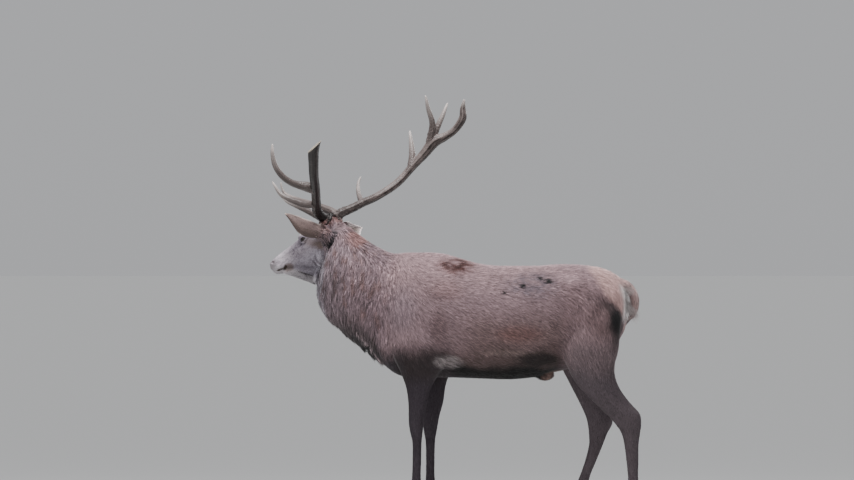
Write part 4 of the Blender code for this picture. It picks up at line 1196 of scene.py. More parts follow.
# pale rims of the ears, and painted light over the right ear
EAR_RIM_AND_LIGHT = shade(196, 180, 172)
EAR_INSIDE = shade(232, 220, 220)
EYE_RING = shade(24, 20, 22)
# pale hair of the brow, with a painted highlight
BROW_PALE_AND_HIGHLIGHT = shade(176, 166, 172)
WITHERS_RED = shade(96, 66, 64)
THIGH_LOW = shade(92, 80, 83)
# painted shadow along the edge of the jaw
JAW_SHADOW = shade(44, 36, 36)
SHOULDER_LINE = shade(168, 148, 152)
# painted light in the hollow of a nostril
NOSTRIL_PAINTED_LIGHT = shade(112, 102, 106)
GLAND = shade(60, 50, 58)

# Clots of mud on the left flank: x, z, size
CLOTS = [(0.216, 1.048, 0.017), (0.300, 1.078, 0.020), (0.385, 1.112, 0.016), (0.423, 1.100, 0.026)]
# Broad lighter and darker places on the body: colour, x, z, half length, half height, strength; the dark
# rib ones are painted shade
BROAD_PATCHES = [
    (FLANK_RED, 0.284, 0.857, 0.150, 0.060, 0.55),
    (FLANK_RED, -0.060, 1.060, 0.120, 0.070, 0.25),
    (SHOULDER_GREY, -0.268, 0.978, 0.110, 0.140, 0.60),
    (RIB_SHADOW, -0.089, 0.893, 0.060, 0.120, 0.60),
    (RIB_SHADOW, 0.490, 0.780, 0.070, 0.060, 0.70),
    (RIB_PALE, 0.240, 0.768, 0.220, 0.022, 0.60),
    (FLANK_RED, 0.560, 0.905, 0.090, 0.070, 0.45),
]


# Long bands down the neck behind the jaw: colour, line, half width, strength
NECK_BANDS = [
    (MANE_EDGE_AND_SHADE, [(-0.630, 1.180), (-0.634, 1.060), (-0.628, 0.970)], 0.011, 0.75),
    (CHEEK_BACK, [(-0.617, 1.250), (-0.615, 1.120), (-0.608, 1.010)], 0.010, 0.55),
]


def blob(points, centre, sizes):
    """1 in the middle of an ellipsoid, 0 outside it."""
    return 1 - soft(lengths((points - centre) / sizes), 0.45, 1.0)


def markings(points):
    """The colour of the coat anywhere on the stag, skin and hair alike, with painted shade underneath and
    in its creases.
    """
    x, y, z = points.T
    part = regions(points)
    patchy = 0.5 + 0.5 * grain(points, 0.075, 3.0)
    streaky = 0.5 + 0.5 * grain(points * (1, 1, 0.35), 0.022, 7.0)
    colour = np.tile(BACK, (len(points), 1))

    def lay(paint, share):
        share = np.clip(share, 0, 1)[:, None]
        colour[:] = colour * (1 - share) + paint * share

    wander = 0.05 * (patchy - 0.5)
    high = z + wander
    # Lighter on the back and darker towards the belly: the coat's own tone, with painted shade on the low
    # flanks.
    lay(SHOULDER, falls(high, 1.00, 1.16))
    lay(FLANK, falls(high, 0.84, 1.02) * soft(x, -0.1, 0.15))
    lay(LOW_FLANK_AND_SHADE, falls(high, 0.72, 0.84))
    broad = 0.5 + 0.5 * grain(points, 0.14, 12.0)
    for paint, at_x, at_z, long, tall, share in BROAD_PATCHES:
        on = falls(np.hypot((x - at_x) / long, (z - at_z) / tall), 0.25, 1.0)
        lay(paint, on * share * (0.6 + 0.6 * broad))
    # Painted shadow under the body, over the belly's dark hair.
    lay(BELLY_AND_SHADOW, falls(high, 0.680, 0.735) * falls(x, 0.50, 0.60))
    lay(HAUNCH, soft(x, 0.44, 0.54) * falls(high, 1.02, 1.12))
    lay(THIGH_LOW, soft(x, 0.44, 0.56) * falls(high, 0.76, 0.92) * 0.75)
    lay(CROUP, soft(x, 0.40, 0.50) * soft(high, 1.05, 1.12))
    rump_edge = np.interp(z, (0.94, 0.998, 1.037, 1.10, 1.16), (0.768, 0.735, 0.690, 0.645, 0.60))
    from_edge = x - rump_edge
    lay(RUMP, soft(from_edge, -0.015, 0.035) * soft(z, 0.925, 0.965))
    lay(HINDLEG_BROWN, soft(x, 0.42, 0.50) * falls(high, 0.62, 0.76))
    # Painted shadow along the lower edge of the pale rump and down behind the thigh, deepest part way
    # down.
    edge, run = polyline_in_profile(points, THIGH_SHADOW_LINE)
    deep = np.interp(run, (0, 0.35, 0.6, 0.8, 1.0), (0.15, 0.60, 1.2, 1.0, 0.35))
    deep = deep * (0.75 + 0.35 * streaky)
    reach = np.interp(run, (0, 0.5, 0.7, 0.85, 1.0), (0.030, 0.045, 0.055, 0.040, 0.030))
    # Painted shade over the back of the haunch.
    lay(RIB_SHADOW, blob(points * (1, 0, 1), (0.690, 0, 0.930), (0.100, 1, 0.130)) * (0.35 + 0.4 * streaky))
    edge = edge + 0.030 * (streaky - 0.5)
    lay(THIGH_SHADOW, falls(edge, 0.15 * reach, 1.1 * reach) * deep * (np.abs(y) > 0.05))
    beside = soft(x, 0.750, 0.766) * falls(np.abs(y), 0.045, 0.090 + 0.02 * patchy)
    lay(RUMP_EDGE, beside * soft(z, 0.90, 0.95) * falls(z, 1.06, 1.10) * (0.85 + 0.15 * streaky))
    ragged = soft(grain(points, 0.016, 11.0) + 0.35 * grain(points, 0.045, 2.0), -0.25, 0.20)
    coarse = soft(grain(points, 0.024, 11.0) + 0.35 * grain(points, 0.045, 2.0), -0.35, 0.25)
    lay(WITHERS_RED, blob(points, (-0.010, -0.070, 1.172), (0.120, 0.150, 0.062)) * (0.35 + 0.65 * coarse))
    lay(WITHERS_PATCH, blob(points, (-0.012, -0.070, 1.180), (0.075, 0.120, 0.042)) * 1.4 * coarse)
    lay(MUD, blob(points, (0.345, -0.150, 1.085), (0.165, 0.150, 0.085)) * (0.25 + 0.8 * ragged))
    for at_x, at_z, size in CLOTS:
        on_side = (y < 0) * falls(np.hypot(x - at_x, (z - at_z) * 1.5), 0.5 * size, size)
        lay(MUD_CLOT, on_side)
    # Painted shadow low on the belly, over its dark hair.
    lay(BELLY_AND_SHADOW, falls(np.hypot((x - 0.375) / 0.140, (z - 0.735) / 0.050), 0.4, 1.0) * 0.8)
    lay(FORELEG_BROWN, falls(high, 0.70, 0.82) * falls(x, -0.07, 0.0) * soft(x, -0.42, -0.34))
    # Painted shadow over the elbow and the top of the foreleg, under the chest.
    shadow_over_leg = falls(np.abs(x + 0.170), 0.060, 0.190) * falls(high, 0.725, 0.840)
    lay(ELBOW_SHADOW, shadow_over_leg * (0.55 + 0.4 * streaky))
    lay(FORELEG_BROWN, falls(z, 0.60, 0.68) * falls(x, 0.0, 0.1))
    lay(HINDLEG_BROWN, falls(z, 0.55, 0.62) * soft(x, 0.2, 0.3))
    for sign in (-1, 1):
        on_elbow = blob(points, (-0.045, sign * 0.13, 0.724), (0.085, 0.2, 0.042))
        lay(ELBOW_TUFT, on_elbow * (0.30 + 0.5 * ragged))
    lay(SHEATH, blob(points, (0.440, 0.0, 0.655), (0.060, 0.06, 0.046)) * (0.4 + 0.8 * ragged))
    lay(TAIL_TAN, part["tail"])
    neck = part["neck"] + part["mane"]
    rear = soft(x, -0.60, -0.34)
    lay(NECK_FRONT, neck * (1 - rear))
    lay(NECK_REAR, neck * rear)
    strand = 0.5 + 0.9 * grain(points * (1, 1, 0.16), 0.007, 9.0)
    lay(NECK_RED, neck * soft(streaky, 0.50, 0.75) * 0.8)
    lay(MANE_LOW, neck * soft(strand, 0.55, 0.80) * 0.55)
    lay(CREST_DARK, neck * blob(points, (-0.440, 0.02, 1.285), (0.090, 0.10, 0.050)) * ragged * 0.8)
    near_front = from_throat(points)
    low_front = neck * falls(near_front, 0.06, 0.16) * soft(-x, 0.34, 0.42)
    lay(MANE_LOW, low_front * (1 - 0.65 * soft(z, 0.92, 1.02)))
    lay(MANE_EDGE_AND_SHADE, part["mane"] * falls(near_front, 0.020, 0.080) * soft(streaky, 0.30, 0.60) * 0.9)
    low_mane = part["mane"] * falls(z + 0.05 * patchy, 0.84, 1.00)
    lay(MANE_EDGE_AND_SHADE, low_mane * (1.0 - 0.7 * soft(strand, 0.45, 0.70)))
    # Ahead of the shoulder's front edge: the mane's dark hair, with painted shade where the mane ends over
    # the shoulder.
    edge, _ = polyline_in_profile(points, SHOULDER_FRONT)
    line_x, line_z = zip(*SHOULDER_FRONT[::-1])
    ahead = x < np.interp(z, line_z, line_x)
    below = (z < 0.90) * (z > 0.735) * (np.abs(y) > 0.03)
    lay(MANE_EDGE_AND_SHADE, ahead * below * falls(edge, 0.030, 0.060) * (0.45 + 0.5 * streaky))
    lay(SHOULDER_LINE, below * falls(edge, 0.002, 0.007) * 0.7)
    lay(NAPE, part["neck"] * soft(z, 1.27, 1.33) * soft(x, -0.62, -0.5))
    lay(FLANK_RED, neck * blob(points * (1, 0, 1), (-0.485, 0, 1.325), (0.055, 1, 0.060)) * 0.6)
    for paint, line, wide, share in NECK_BANDS:
        beside, _ = polyline_in_profile(points, line)
        lay(paint, neck * falls(beside, 0.3 * wide, wide) * share * (0.6 + 0.5 * streaky))
    lay(CROWN, part["crown"])
    face_markings(points, part, lay)
    return colour * (0.90 + 0.2 * patchy)[:, None]


def under_jaw(places):
    """1 on what hangs below the edge of the jaw, 0 above it."""
    forward, _, up = places.T
    return 1 - soft(up - 0.79 * (forward - 0.187), -0.090, -0.078)


def face_markings(points, part, lay):
    """The colours of the head and the ears, with painted shade below the jaw and the ears, and painted
    light on the brow, the nostrils and the right ear.
    """
    places = mirrored(head_places(points))
    forward, _, up = places.T
    head = part["head"]
    mottled = 0.5 + 0.5 * grain(places, 0.009, 4.0)
    lined = 0.5 + 0.9 * grain(places * (0.35, 1, 1), 0.006, 6.0)
    lay(FACE, head)
    lay(MUZZLE, head * soft(forward, 0.20, 0.32) * soft(up, -0.01, 0.05))
    lay(CHEEK, head * falls(up, -0.01, 0.04))
    before_eye = blob(places, (0.195, 0.050, 0.050), (0.075, 0.06, 0.050))
    lay(FACE_FLECK, head * before_eye * soft(mottled, 0.42, 0.72) * 0.75)
    lay(FACE_FLECK, head * soft(up, 0.062, 0.090) * falls(forward, 0.17, 0.24) * 0.45)
    lay(FACE_FLECK, head * soft(lined, 0.55, 0.80) * 0.35)
    for spot in ((0.154, 0.062, 0.066), (0.164, 0.060, 0.046), (0.157, 0.062, 0.031)):
        away = lengths(places - spot)
        lay(FACE_FLECK, head * falls(away, 0.002, 0.0065))
    falling = 0.5 + 1.0 * grain(points * (1, 1, 0.16), 0.0105, 8.0)
    jowl = head * falls(forward, 0.135, 0.185) * falls(up, -0.040, 0.010)
    lay(CHEEK_BACK, jowl * falls(falling, 0.25, 0.50) * 0.85)
    lay(CHEEK_GAP, jowl * soft(falling, 0.50, 0.80) * 0.9)
    lay(JAW_UNDER, head * under_jaw(places))
    # Painted shadow in the crease along the lower edge of the jaw.
    edge, _ = off_path(places * (1, 0, 1), [(0.256, 0, -0.030), (0.225, 0, -0.053), (0.180, 0, -0.088)])
    lay(JAW_SHADOW, head * falls(edge, 0.0015, 0.0050) * 0.8)
    corner = blob(places, (0.290, 0.036, 0.004), (0.036, 0.04, 0.030))
    lay(BROWN_BAND, head * corner * 0.75)
    border, _ = off_path(places, [(0.062, 0.075, -0.020), (0.116, 0.055, -0.081), (0.166, 0.045, -0.149)])
    sides = (head + part["neck"] + part["mane"]) * falls(border, 0.020, 0.050)
    lay(CHEEK_BACK, sides * falls(falling, 0.25, 0.50) * 0.7)
    lay(CHEEK_GAP, sides * soft(falling, 0.50, 0.80) * 0.8)
    lay(MANE_LOW, sides * soft(border, 0.004, 0.010) * falls(border, 0.012, 0.020) * 0.5)
    near_front = from_throat(points)
    throat = (part["mane"] + part["neck"]) * falls(near_front, 0.022, 0.040)
    throat = throat * soft(points[:, 2], 1.01, 1.06)
    lay(CHEEK_BACK, throat * falls(falling, 0.30, 0.60) * 0.75)
    # A band from behind the eye back below the ear: brown hair, with painted shade beneath the ear.
    band, run = off_path(places, [(0.114, 0.070, 0.060), (0.085, 0.074, 0.035), (0.052, 0.077, 0.012)])
    band = band + 0.014 * (mottled - 0.5)
    lay(BROWN_BAND, (head + part["crown"]) * falls(band, 0.006, 0.034) * (0.55 + 0.45 * run))
    # Below the ear's root: dark hair, with painted shadow under the ear.
    patch = blob(places, (-0.002, 0.080, 0.026), (0.050, 0.07, 0.040))
    lay(EAR_ROOT_DARK_AND_SHADOW, (1 - part["ear"]) * patch * soft(mottled, 0.22, 0.42) * 1.3)
    lay(NOSE, head * blob(places, (0.365, 0.02, 0.058), (0.045, 0.05, 0.030)) * 0.5)
    lay(NOSE, head * blob(places, (0.392, 0.0, 0.058), (0.022, 0.026, 0.022)))
    for path, width, paint in (
        # The nostrils are painted paler than the nose: painted light that fills the shade of their carved
        # hollows.
        ([(0.376, 0.018, 0.074), (0.350, 0.028, 0.064)], 0.0056, NOSTRIL_PAINTED_LIGHT),
        (MOUTH, 0.0070, LIPS),
        ([(0.322, 0.037, 0.009), (0.304, 0.038, 0.016)], 0.0120, LIPS),
        (GLAND_SLIT, 0.0060, GLAND),
    ):
        away, _ = off_path(places, path)
        lay(paint, head * falls(away, 0.5 * width, width))
    # Pale hair on the brow over the eye, with a painted highlight on its ridge.
    lay(BROW_PALE_AND_HIGHLIGHT, head * blob(places, (0.128, 0.060, 0.106), (0.030, 0.024, 0.015)))
    for side in SIGN:
        outside, _, reach, facing = beyond_lids(points, side)
        close = (reach < EYE_RADIUS * 1.5) * (facing > 0.1)
        lay(EYE_RING, close * falls(outside, 0.0014, 0.0036))
    ear = part["ear"]
    lay(EAR_BACK, ear)
    for side in SIGN:
        root, length, opens, width = ear_axes(side)
        lower = width * math.copysign(1, -width[2])
        share = (points - root) @ length / EAR_LENGTH
        shares, halves, _, _, sags = zip(*EAR_SECTIONS)
        half, sag = np.interp(share, shares, halves), np.interp(share, shares, sags)
        own = ear * (lengths(points - root - length * 0.1) < 0.16)
        inward = (points - root) @ opens
        down = ((points - root) @ lower - sag) / np.maximum(half, 0.004)
        # Painted shade over the lower half of each ear, weaker on the right ear; then dark mottles in its
        # hair.
        dim = 1.0 if side == "left" else 0.35
        lay(EAR_DARK_AND_SHADE, own * soft(down, 0.10, 0.95) * 0.75 * dim)
        lay(EAR_DARK_AND_SHADE, own * soft(mottled, 0.55, 0.8) * 0.4 * dim)
        lay(EAR_RIM_AND_LIGHT, own * np.maximum(soft(-down, 0.55, 0.92), soft(share, 0.93, 0.99)) * 0.9)
        lay(EAR_RIM_AND_LIGHT, own * soft(down, 0.93, 1.02) * soft(share, 0.35, 0.6) * 0.5)
        if side == "right":
            # Painted light over all of the right ear.
            lay(EAR_RIM_AND_LIGHT, own * 0.5)
            lay(EAR_INSIDE, own * soft(inward, -0.012, 0.004) * 0.9)


# ---------------------------------------------------------------- the coat
UV_PATCH = 0.003  # each tuft's share of the unwrap, at its root's place
UV_EDGE = 0.004
THICK = 0.35  # of a tuft, of its width
DEEPEST = 0.06  # that the coat is taken to be
DARK_TUFTS, DARKER = 0.18, 0.52  # share of the tufts, and how their tone changes
PALE_TUFTS, PALER, LIFT = 0.12, 1.34, 0.008


def unwrapped(obj):
    """A lighter copy of the skin, laid out flat: its tree, its triangles' corners on the flat."""
    flat = in_scene("unwrap", obj.data.copy())
    modified(flat, "DECIMATE", ratio=0.10, use_collapse_triangulate=True)
    baked(flat)
    bpy.context.view_layer.objects.active = flat
    flat.select_set(True)
    bpy.ops.object.mode_set(mode="EDIT")
    bpy.ops.mesh.select_all(action="SELECT")
    bpy.ops.uv.smart_project(angle_limit=math.radians(66), island_margin=0.002)
    bpy.ops.object.mode_set(mode="OBJECT")
    corners = triangles(flat)
    loops = np.empty(len(flat.data.loop_triangles) * 3, np.int32)
    flat.data.loop_triangles.foreach_get("loops", loops)
    layer = np.empty(len(flat.data.loops) * 2, np.float32)
    flat.data.uv_layers[0].uv.foreach_get("vector", layer)
    places = layer.reshape(-1, 2)[loops].reshape(-1, 3, 2)
    points = mesh_points(flat)
    tree = BVHTree.FromPolygons(points.tolist(), corners.tolist())
    bpy.data.objects.remove(flat)
    return tree, points[corners], places


def flat_places(points, unwrap):
    """Where points of the skin lie on its unwrap."""
    tree, corners, places = unwrap
    _, _, found = nearest(tree, points)
    a, b, c = corners[found].transpose(1, 0, 2)
    ab, ac, ap = b - a, c - a, points - a
    dot = [[(u * v).sum(1) for v in (ab, ac)] for u in (ab, ac)]
    pb, pc = (ap * ab).sum(1), (ap * ac).sum(1)
    size = np.maximum(dot[0][0] * dot[1][1] - dot[0][1] ** 2, 1e-18)
    v = np.clip((dot[1][1] * pb - dot[0][1] * pc) / size, 0, 1)
    w = np.clip((dot[0][0] * pc - dot[0][1] * pb) / size, 0, 1)
    share = np.stack([np.clip(1 - v - w, 0, 1), v, w], 1)
    share /= share.sum(1, keepdims=True)
    return (places[found] * share[:, :, None]).sum(1)


def nearest(tree, points):
    """The nearest point of a tree's surface to each point, the way out there, and the face."""
    found = [tree.find_nearest(p) for p in points.tolist()]
    at = np.array([f[0] for f in found])
    out = np.array([f[1] for f in found])
    return at, out, np.array([f[2] for f in found])


FLESH_NODES = ("trunk", "neck", "head", "tail", "ear", "foreleg", "hindleg")


class Skin:
    """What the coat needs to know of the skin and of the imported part's outer surface."""

    def __init__(self, obj, shift):
        self.corners = triangles(obj)
        self.points = mesh_points(obj)
        self.normals = mesh_normals(obj)
        tri = self.points[self.corners]
        self.areas = lengths(np.cross(tri[:, 1] - tri[:, 0], tri[:, 2] - tri[:, 0])) / 2
        self.middles = tri.mean(1)
        self.tree = BVHTree.FromPolygons(self.points.tolist(), self.corners.tolist())
        self.unwrap = unwrapped(obj)
        self.part = regions(self.middles)
        outer_points, outer_faces, start = [], [], 0
        for name, node in frame["nodes"].items():
            if name.startswith(FLESH_NODES):
                outer_points.append(mesh_points(node) - shift)
                outer_faces.append(triangles(node) + start)
                start += len(node.data.vertices)
        outer = np.vstack(outer_points).tolist(), np.vstack(outer_faces).tolist()
        self.outer = BVHTree.FromPolygons(*outer)


def roots_on(skin, per_metre, rng):
    """Evenly scattered places on the skin, per_metre to the square metre, one value a triangle."""
    due = np.cumsum(skin.areas * per_metre)
    count = int(due[-1])
    at = (np.arange(count) + rng.random(count)) * due[-1] / count
    face = np.minimum(np.searchsorted(due, at), len(due) - 1)
    u, v = rng.random((2, count))
    over = u + v > 1
    u, v = np.where(over, 1 - u, u), np.where(over, 1 - v, v)
    share = np.column_stack([1 - u - v, u, v])
    corners = skin.corners[face]
    points = (skin.points[corners] * share[:, :, None]).sum(1)
    normals = unit((skin.normals[corners] * share[:, :, None]).sum(1))
    return points, normals


def clumped(paths, reach, pull, rng):
    """Draws the far ends of neighbouring tufts together, as hair does when it falls in locks."""
    roots = paths[:, 0]
    leading = np.flatnonzero(rng.random(len(roots)) < reach)
    tree = KDTree(len(leading))
    for i, k in enumerate(leading):
        tree.insert(roots[k], i)
    tree.balance()
    guide = leading[[tree.find(r)[1] for r in roots]]
    share = np.linspace(0, 1, paths.shape[1]) ** 1.4
    return paths + (paths[guide] - paths) * (pull * share)[None, :, None]


def tuft_mesh(name, paths, normals, widths, thick, colours, flat, rng):
    """Closed three-sided tufts, one for each path, as one mesh with its colours and its unwrap."""
    count, sections, _ = paths.shape
    along = unit(np.gradient(paths, axis=1))
    side = unit(np.cross(along, normals))
    up = unit(np.cross(side, along))
    taper = np.interp(np.linspace(0, 1, sections), (0, 0.45, 1), (0.75, 1, 0))
    half = widths[:, None] * taper[None, :] / 2
    rise = thick[:, None] * taper[None, :]
    left = paths - side * half[:, :, None]
    right = paths + side * half[:, :, None]
    ridge = paths + up * rise[:, :, None]
    rings = np.stack([left, ridge, right], 2)[:, :-1].reshape(count, -1, 3)
    points = np.concatenate([rings, paths[:, -1:]], 1)
    soft_up = normals * 0.9
    lit = np.stack([soft_up - side * 0.5, soft_up, soft_up + side * 0.5], 2)[:, :-1]
    lit = np.concatenate([lit.reshape(count, -1, 3), (soft_up + along * 0.25)[:, -1:]], 1)
    lit = unit(lit + rng.normal(0, 0.10, (count, 1, 3)))
    pattern = []
    for k in range(sections - 2):
        a, b = 3 * k, 3 * k + 3
        pattern += [(a, a + 1, b + 1, b), (a + 1, a + 2, b + 2, b + 1), (a + 2, a, b, b + 2)]
    last, tip = 3 * (sections - 2), 3 * (sections - 1)
    pattern += [(last, last + 1, tip), (last + 1, last + 2, tip), (last + 2, last, tip), (0, 2, 1)]
    per = points.shape[1]
    order = np.array([i for face in pattern for i in face])
    sizes = np.array([len(face) for face in pattern])
    loops = (order[None, :] + per * np.arange(count)[:, None]).ravel()
    starts = np.concatenate([[0], np.cumsum(np.tile(sizes, count))[:-1]])
    mesh = bpy.data.meshes.new(name)
    mesh.vertices.add(count * per)
    mesh.loops.add(len(loops))
    mesh.polygons.add(len(starts))
    mesh.vertices.foreach_set("co", points.astype(np.float32).ravel())
    mesh.loops.foreach_set("vertex_index", loops.astype(np.int32))
    mesh.polygons.foreach_set("loop_start", starts.astype(np.int32))
    mesh.update(calc_edges=True)
    ring_tone = np.repeat(colours[:, :-1], 3, axis=1)
    paint(mesh, np.concatenate([ring_tone, colours[:, -1:]], 1).reshape(-1, 3))
    level = np.linspace(0, 1, sections)
    local = [(s, t) for t in level[:-1] for s in (0.0, 0.5, 1.0)] + [(0.5, 1.0)]
    own = (np.array(local) - 0.5) * UV_PATCH
    spots = (flat[:, None, :] + own[None, :, :]).reshape(-1, 2)[loops]
    layer = mesh.uv_layers.new(name="OFBake")
    layer.uv.foreach_set("vector", spots.astype(np.float32).ravel())
    mesh.shade_smooth()
    mesh.normals_split_custom_set_from_vertices(lit.reshape(-1, 3).tolist())
    return in_scene(name, mesh)


def paint(mesh, colours):
    """Keeps a colour for each point of a mesh."""
    layer = mesh.color_attributes.new(name="shade", type="FLOAT_COLOR", domain="POINT")
    full = np.column_stack([colours, np.ones(len(colours))])
    layer.data.foreach_set("color", full.astype(np.float32).ravel())


def spread(flat):
    """Places on the unwrap stretched to fill it."""
    low, high = flat.min(0), flat.max(0)
    return UV_EDGE + (flat - low) / (high - low) * (1 - 2 * UV_EDGE)


def grow(
    skin, name, per_metre, length, width, sections, seed, stand,
    clumps=None, vary=0.24, hang=0.0, turned=0.18, least_rise=0.002, extra=None,
):
    """Grows one piece of the coat. per_metre is one value a triangle; length and width come from
    the regions at each root, and stand is how high the tips stand, of the coat's depth there."""
    rng = np.random.default_rng(seed)
    roots, normals = roots_on(skin, per_metre, rng)
    count = len(roots)
    part = regions(roots)
    ways = lie_of_coat(roots, normals, part)
    ways = unit(ways + np.cross(normals, ways) * rng.normal(0, turned, (count, 1)))
    long = length(part, roots) * rng.uniform(0.75, 1.15, count)
    wide = width(part, roots) * rng.uniform(0.75, 1.25, count)
    at, _, _ = nearest(skin.outer, roots)
    depth = np.clip(lengths(at - roots), least_rise, DEEPEST)
    depth = np.where(((at - roots) * normals).sum(1) < 0, least_rise, depth)
    high = (depth + (extra(roots) if extra else 0.0)) * rng.uniform(*stand, count)
    paths = [roots - normals * 0.0012]
    outs = [normals]
    for share in np.linspace(0, 1, sections)[1:]:
        on_skin, out, _ = nearest(skin.tree, roots + ways * (long * share)[:, None])
        out = unit(out + normals)
        lift = high * np.interp(share, (0, 0.4, 0.75, 1.0), (0, 0.62, 0.95, 1.0))
        drop = np.array((0, 0, -1.0)) * (hang * long * share**2)[:, None]
        paths.append(on_skin + out * lift[:, None] + drop)
        outs.append(out)
    paths, outs = np.stack(paths, 1), np.stack(outs, 1)
    if clumps:
        paths = clumped(paths, *clumps, rng)
    tone = markings(roots)
    uneven = vary(roots) if callable(vary) else vary
    tone *= np.exp(rng.normal(0, 1, count) * uneven)[:, None]
    ticked = rng.random(count)
    tone = np.where((ticked < DARK_TUFTS)[:, None], tone * DARKER, tone)
    tone = np.where((ticked > 1 - PALE_TUFTS)[:, None], tone * PALER + LIFT, tone)
    # Darker at the root and paler at the tip: painted shade deep in the coat.
    fade = np.interp(np.linspace(0, 1, sections), (0, 0.5, 1), (0.62, 0.95, 1.12))
    colours = tone[:, None, :] * fade[None, :, None]
    flat = spread(flat_places(roots, skin.unwrap))
    return tuft_mesh(name, paths, outs, wide, wide * THICK, colours, flat, rng)


def by_part(**values):
    """A function that mixes one value a region by how far each root belongs to it."""

    def mixed(part, roots):
        total = sum(part[name] * value for name, value in values.items())
        weight = sum(part[name] for name in values)
        plain = np.mean(list(values.values()))
        return np.where(weight > 0.05, total / np.maximum(weight, 0.05), plain)

    return mixed


def bare(skin):
    """1 where hair grows, 0 on the eyes, nostrils, lips and nose."""
    places = mirrored(head_places(skin.middles))
    hairy = np.ones(len(places))
    for side in SIGN:
        outside, _, reach, facing = beyond_lids(skin.middles, side)
        near = (reach < EYE_RADIUS * 1.5) * (facing > 0.1)
        hairy *= 1 - near * falls(outside, 0.0018, 0.0034)
    nose = blob(places, (0.394, 0.0, 0.058), (0.016, 0.024, 0.020))
    hairy *= falls(nose, 0.3, 0.7)
    for path, width in (
        ([(0.372, 0.020, 0.075), (0.354, 0.028, 0.063)], 0.006),
        (MOUTH, 0.0056),
        (GLAND_SLIT, 0.004),
    ):
        away, _ = off_path(places, path)
        hairy *= soft(away, 0.6 * width, width)
    return hairy * (skin.middles[:, 2] > CORONET + 0.001)


def face_length(part, roots):
    """Shortest on the muzzle, longer on the jowl and under the jaw, shortest again by the ear."""
    places = mirrored(head_places(roots))
    forward, _, up = places.T
    jowl = falls(forward, 0.12, 0.18) * falls(up, -0.05, 0.0)
    long = 0.0095 - 0.0040 * soft(forward, 0.26, 0.31) + 0.016 * jowl
    return long + 0.018 * under_jaw(places) * falls(forward, 0.28, 0.33)


def face_unevenness(roots):
    """How much the tone changes from tuft to tuft: most on the jowl."""
    forward, _, up = head_places(roots).T
    return 0.16 + 0.26 * falls(forward, 0.13, 0.19) * falls(up, -0.04, 0.01)


def crown_length(part, roots):
    """Shorter beside the ears and round the antlers' stumps."""
    near_ear = blob(mirrored(head_places(roots)), (0.014, 0.080, 0.020), (0.070, 0.08, 0.060))
    ruff = sum(burr_ruff(roots, side)[0] for side in SIGN)
    long = by_part(crown=0.032, head=0.014, neck=0.045, ear=0.015)(part, roots)
    return long * (1 - 0.62 * near_ear) * (1 - 0.20 * ruff)


def crown_rise(roots):
    """The brush of hair that stands up between the antlers and hides the foot of each."""
    places = mirrored(head_places(roots))
    brush = blob(places, (-0.020, 0.030, 0.100), (0.090, 0.110, 0.075))
    return 0.001 * brush + 0.011 * burr_ruff(roots, "left")[0]


def rump_rise(roots):
    """The fringe of pale hair that fills the space between the rump and the tail."""
    x, y, z = roots.T
    fringe = soft(x, 0.748, 0.768) * falls(np.abs(y), 0.030, 0.060)
    return 0.060 * fringe * soft(z, 0.92, 0.97) * falls(z, 1.07, 1.11)


def body_rise(roots):
    """The fringe of the rump, and the fuller hair on the brisket."""
    return rump_rise(roots) + 0.010 * blob(roots, (-0.400, 0.0, 0.770), (0.080, 0.12, 0.060))


def throat_rise(roots):
    """How much further the mane stands out in front of the neck."""
    near_front = from_throat(roots)
    upper = falls(near_front, 0.045, 0.100) * soft(roots[:, 2], 0.94, 1.03)
    lower = blob(roots, (-0.440, 0.0, 0.800), (0.070, 0.12, 0.050))
    return 0.004 + 0.018 * upper + 0.010 * lower


def body_length(part, roots):
    """Longer on the brisket, the fringe of the rump and the sheath."""
    long = by_part(trunk=0.028, leg=0.018, neck=0.050, tail=0.04, mane=0.05)(part, roots)
    long = long + 0.035 * blob(roots, (-0.410, 0.0, 0.780), (0.080, 0.12, 0.070))
    long = long + 0.5 * rump_rise(roots)
    return long + 0.020 * blob(roots, (0.440, 0.0, 0.655), (0.070, 0.06, 0.05))


def mane_length(part, roots):
    """Shorter at the lower end of the mane."""
    low = 0.75 + 0.25 * soft(roots[:, 2], 0.80, 0.96)
    return by_part(neck=0.070, mane=0.090, crown=0.04, trunk=0.035)(part, roots) * low


def ear_length(part, roots):
    """Longer on the right ear, which shows its inside."""
    return 0.012 + 0.012 * (head_places(roots)[:, 1] < 0)


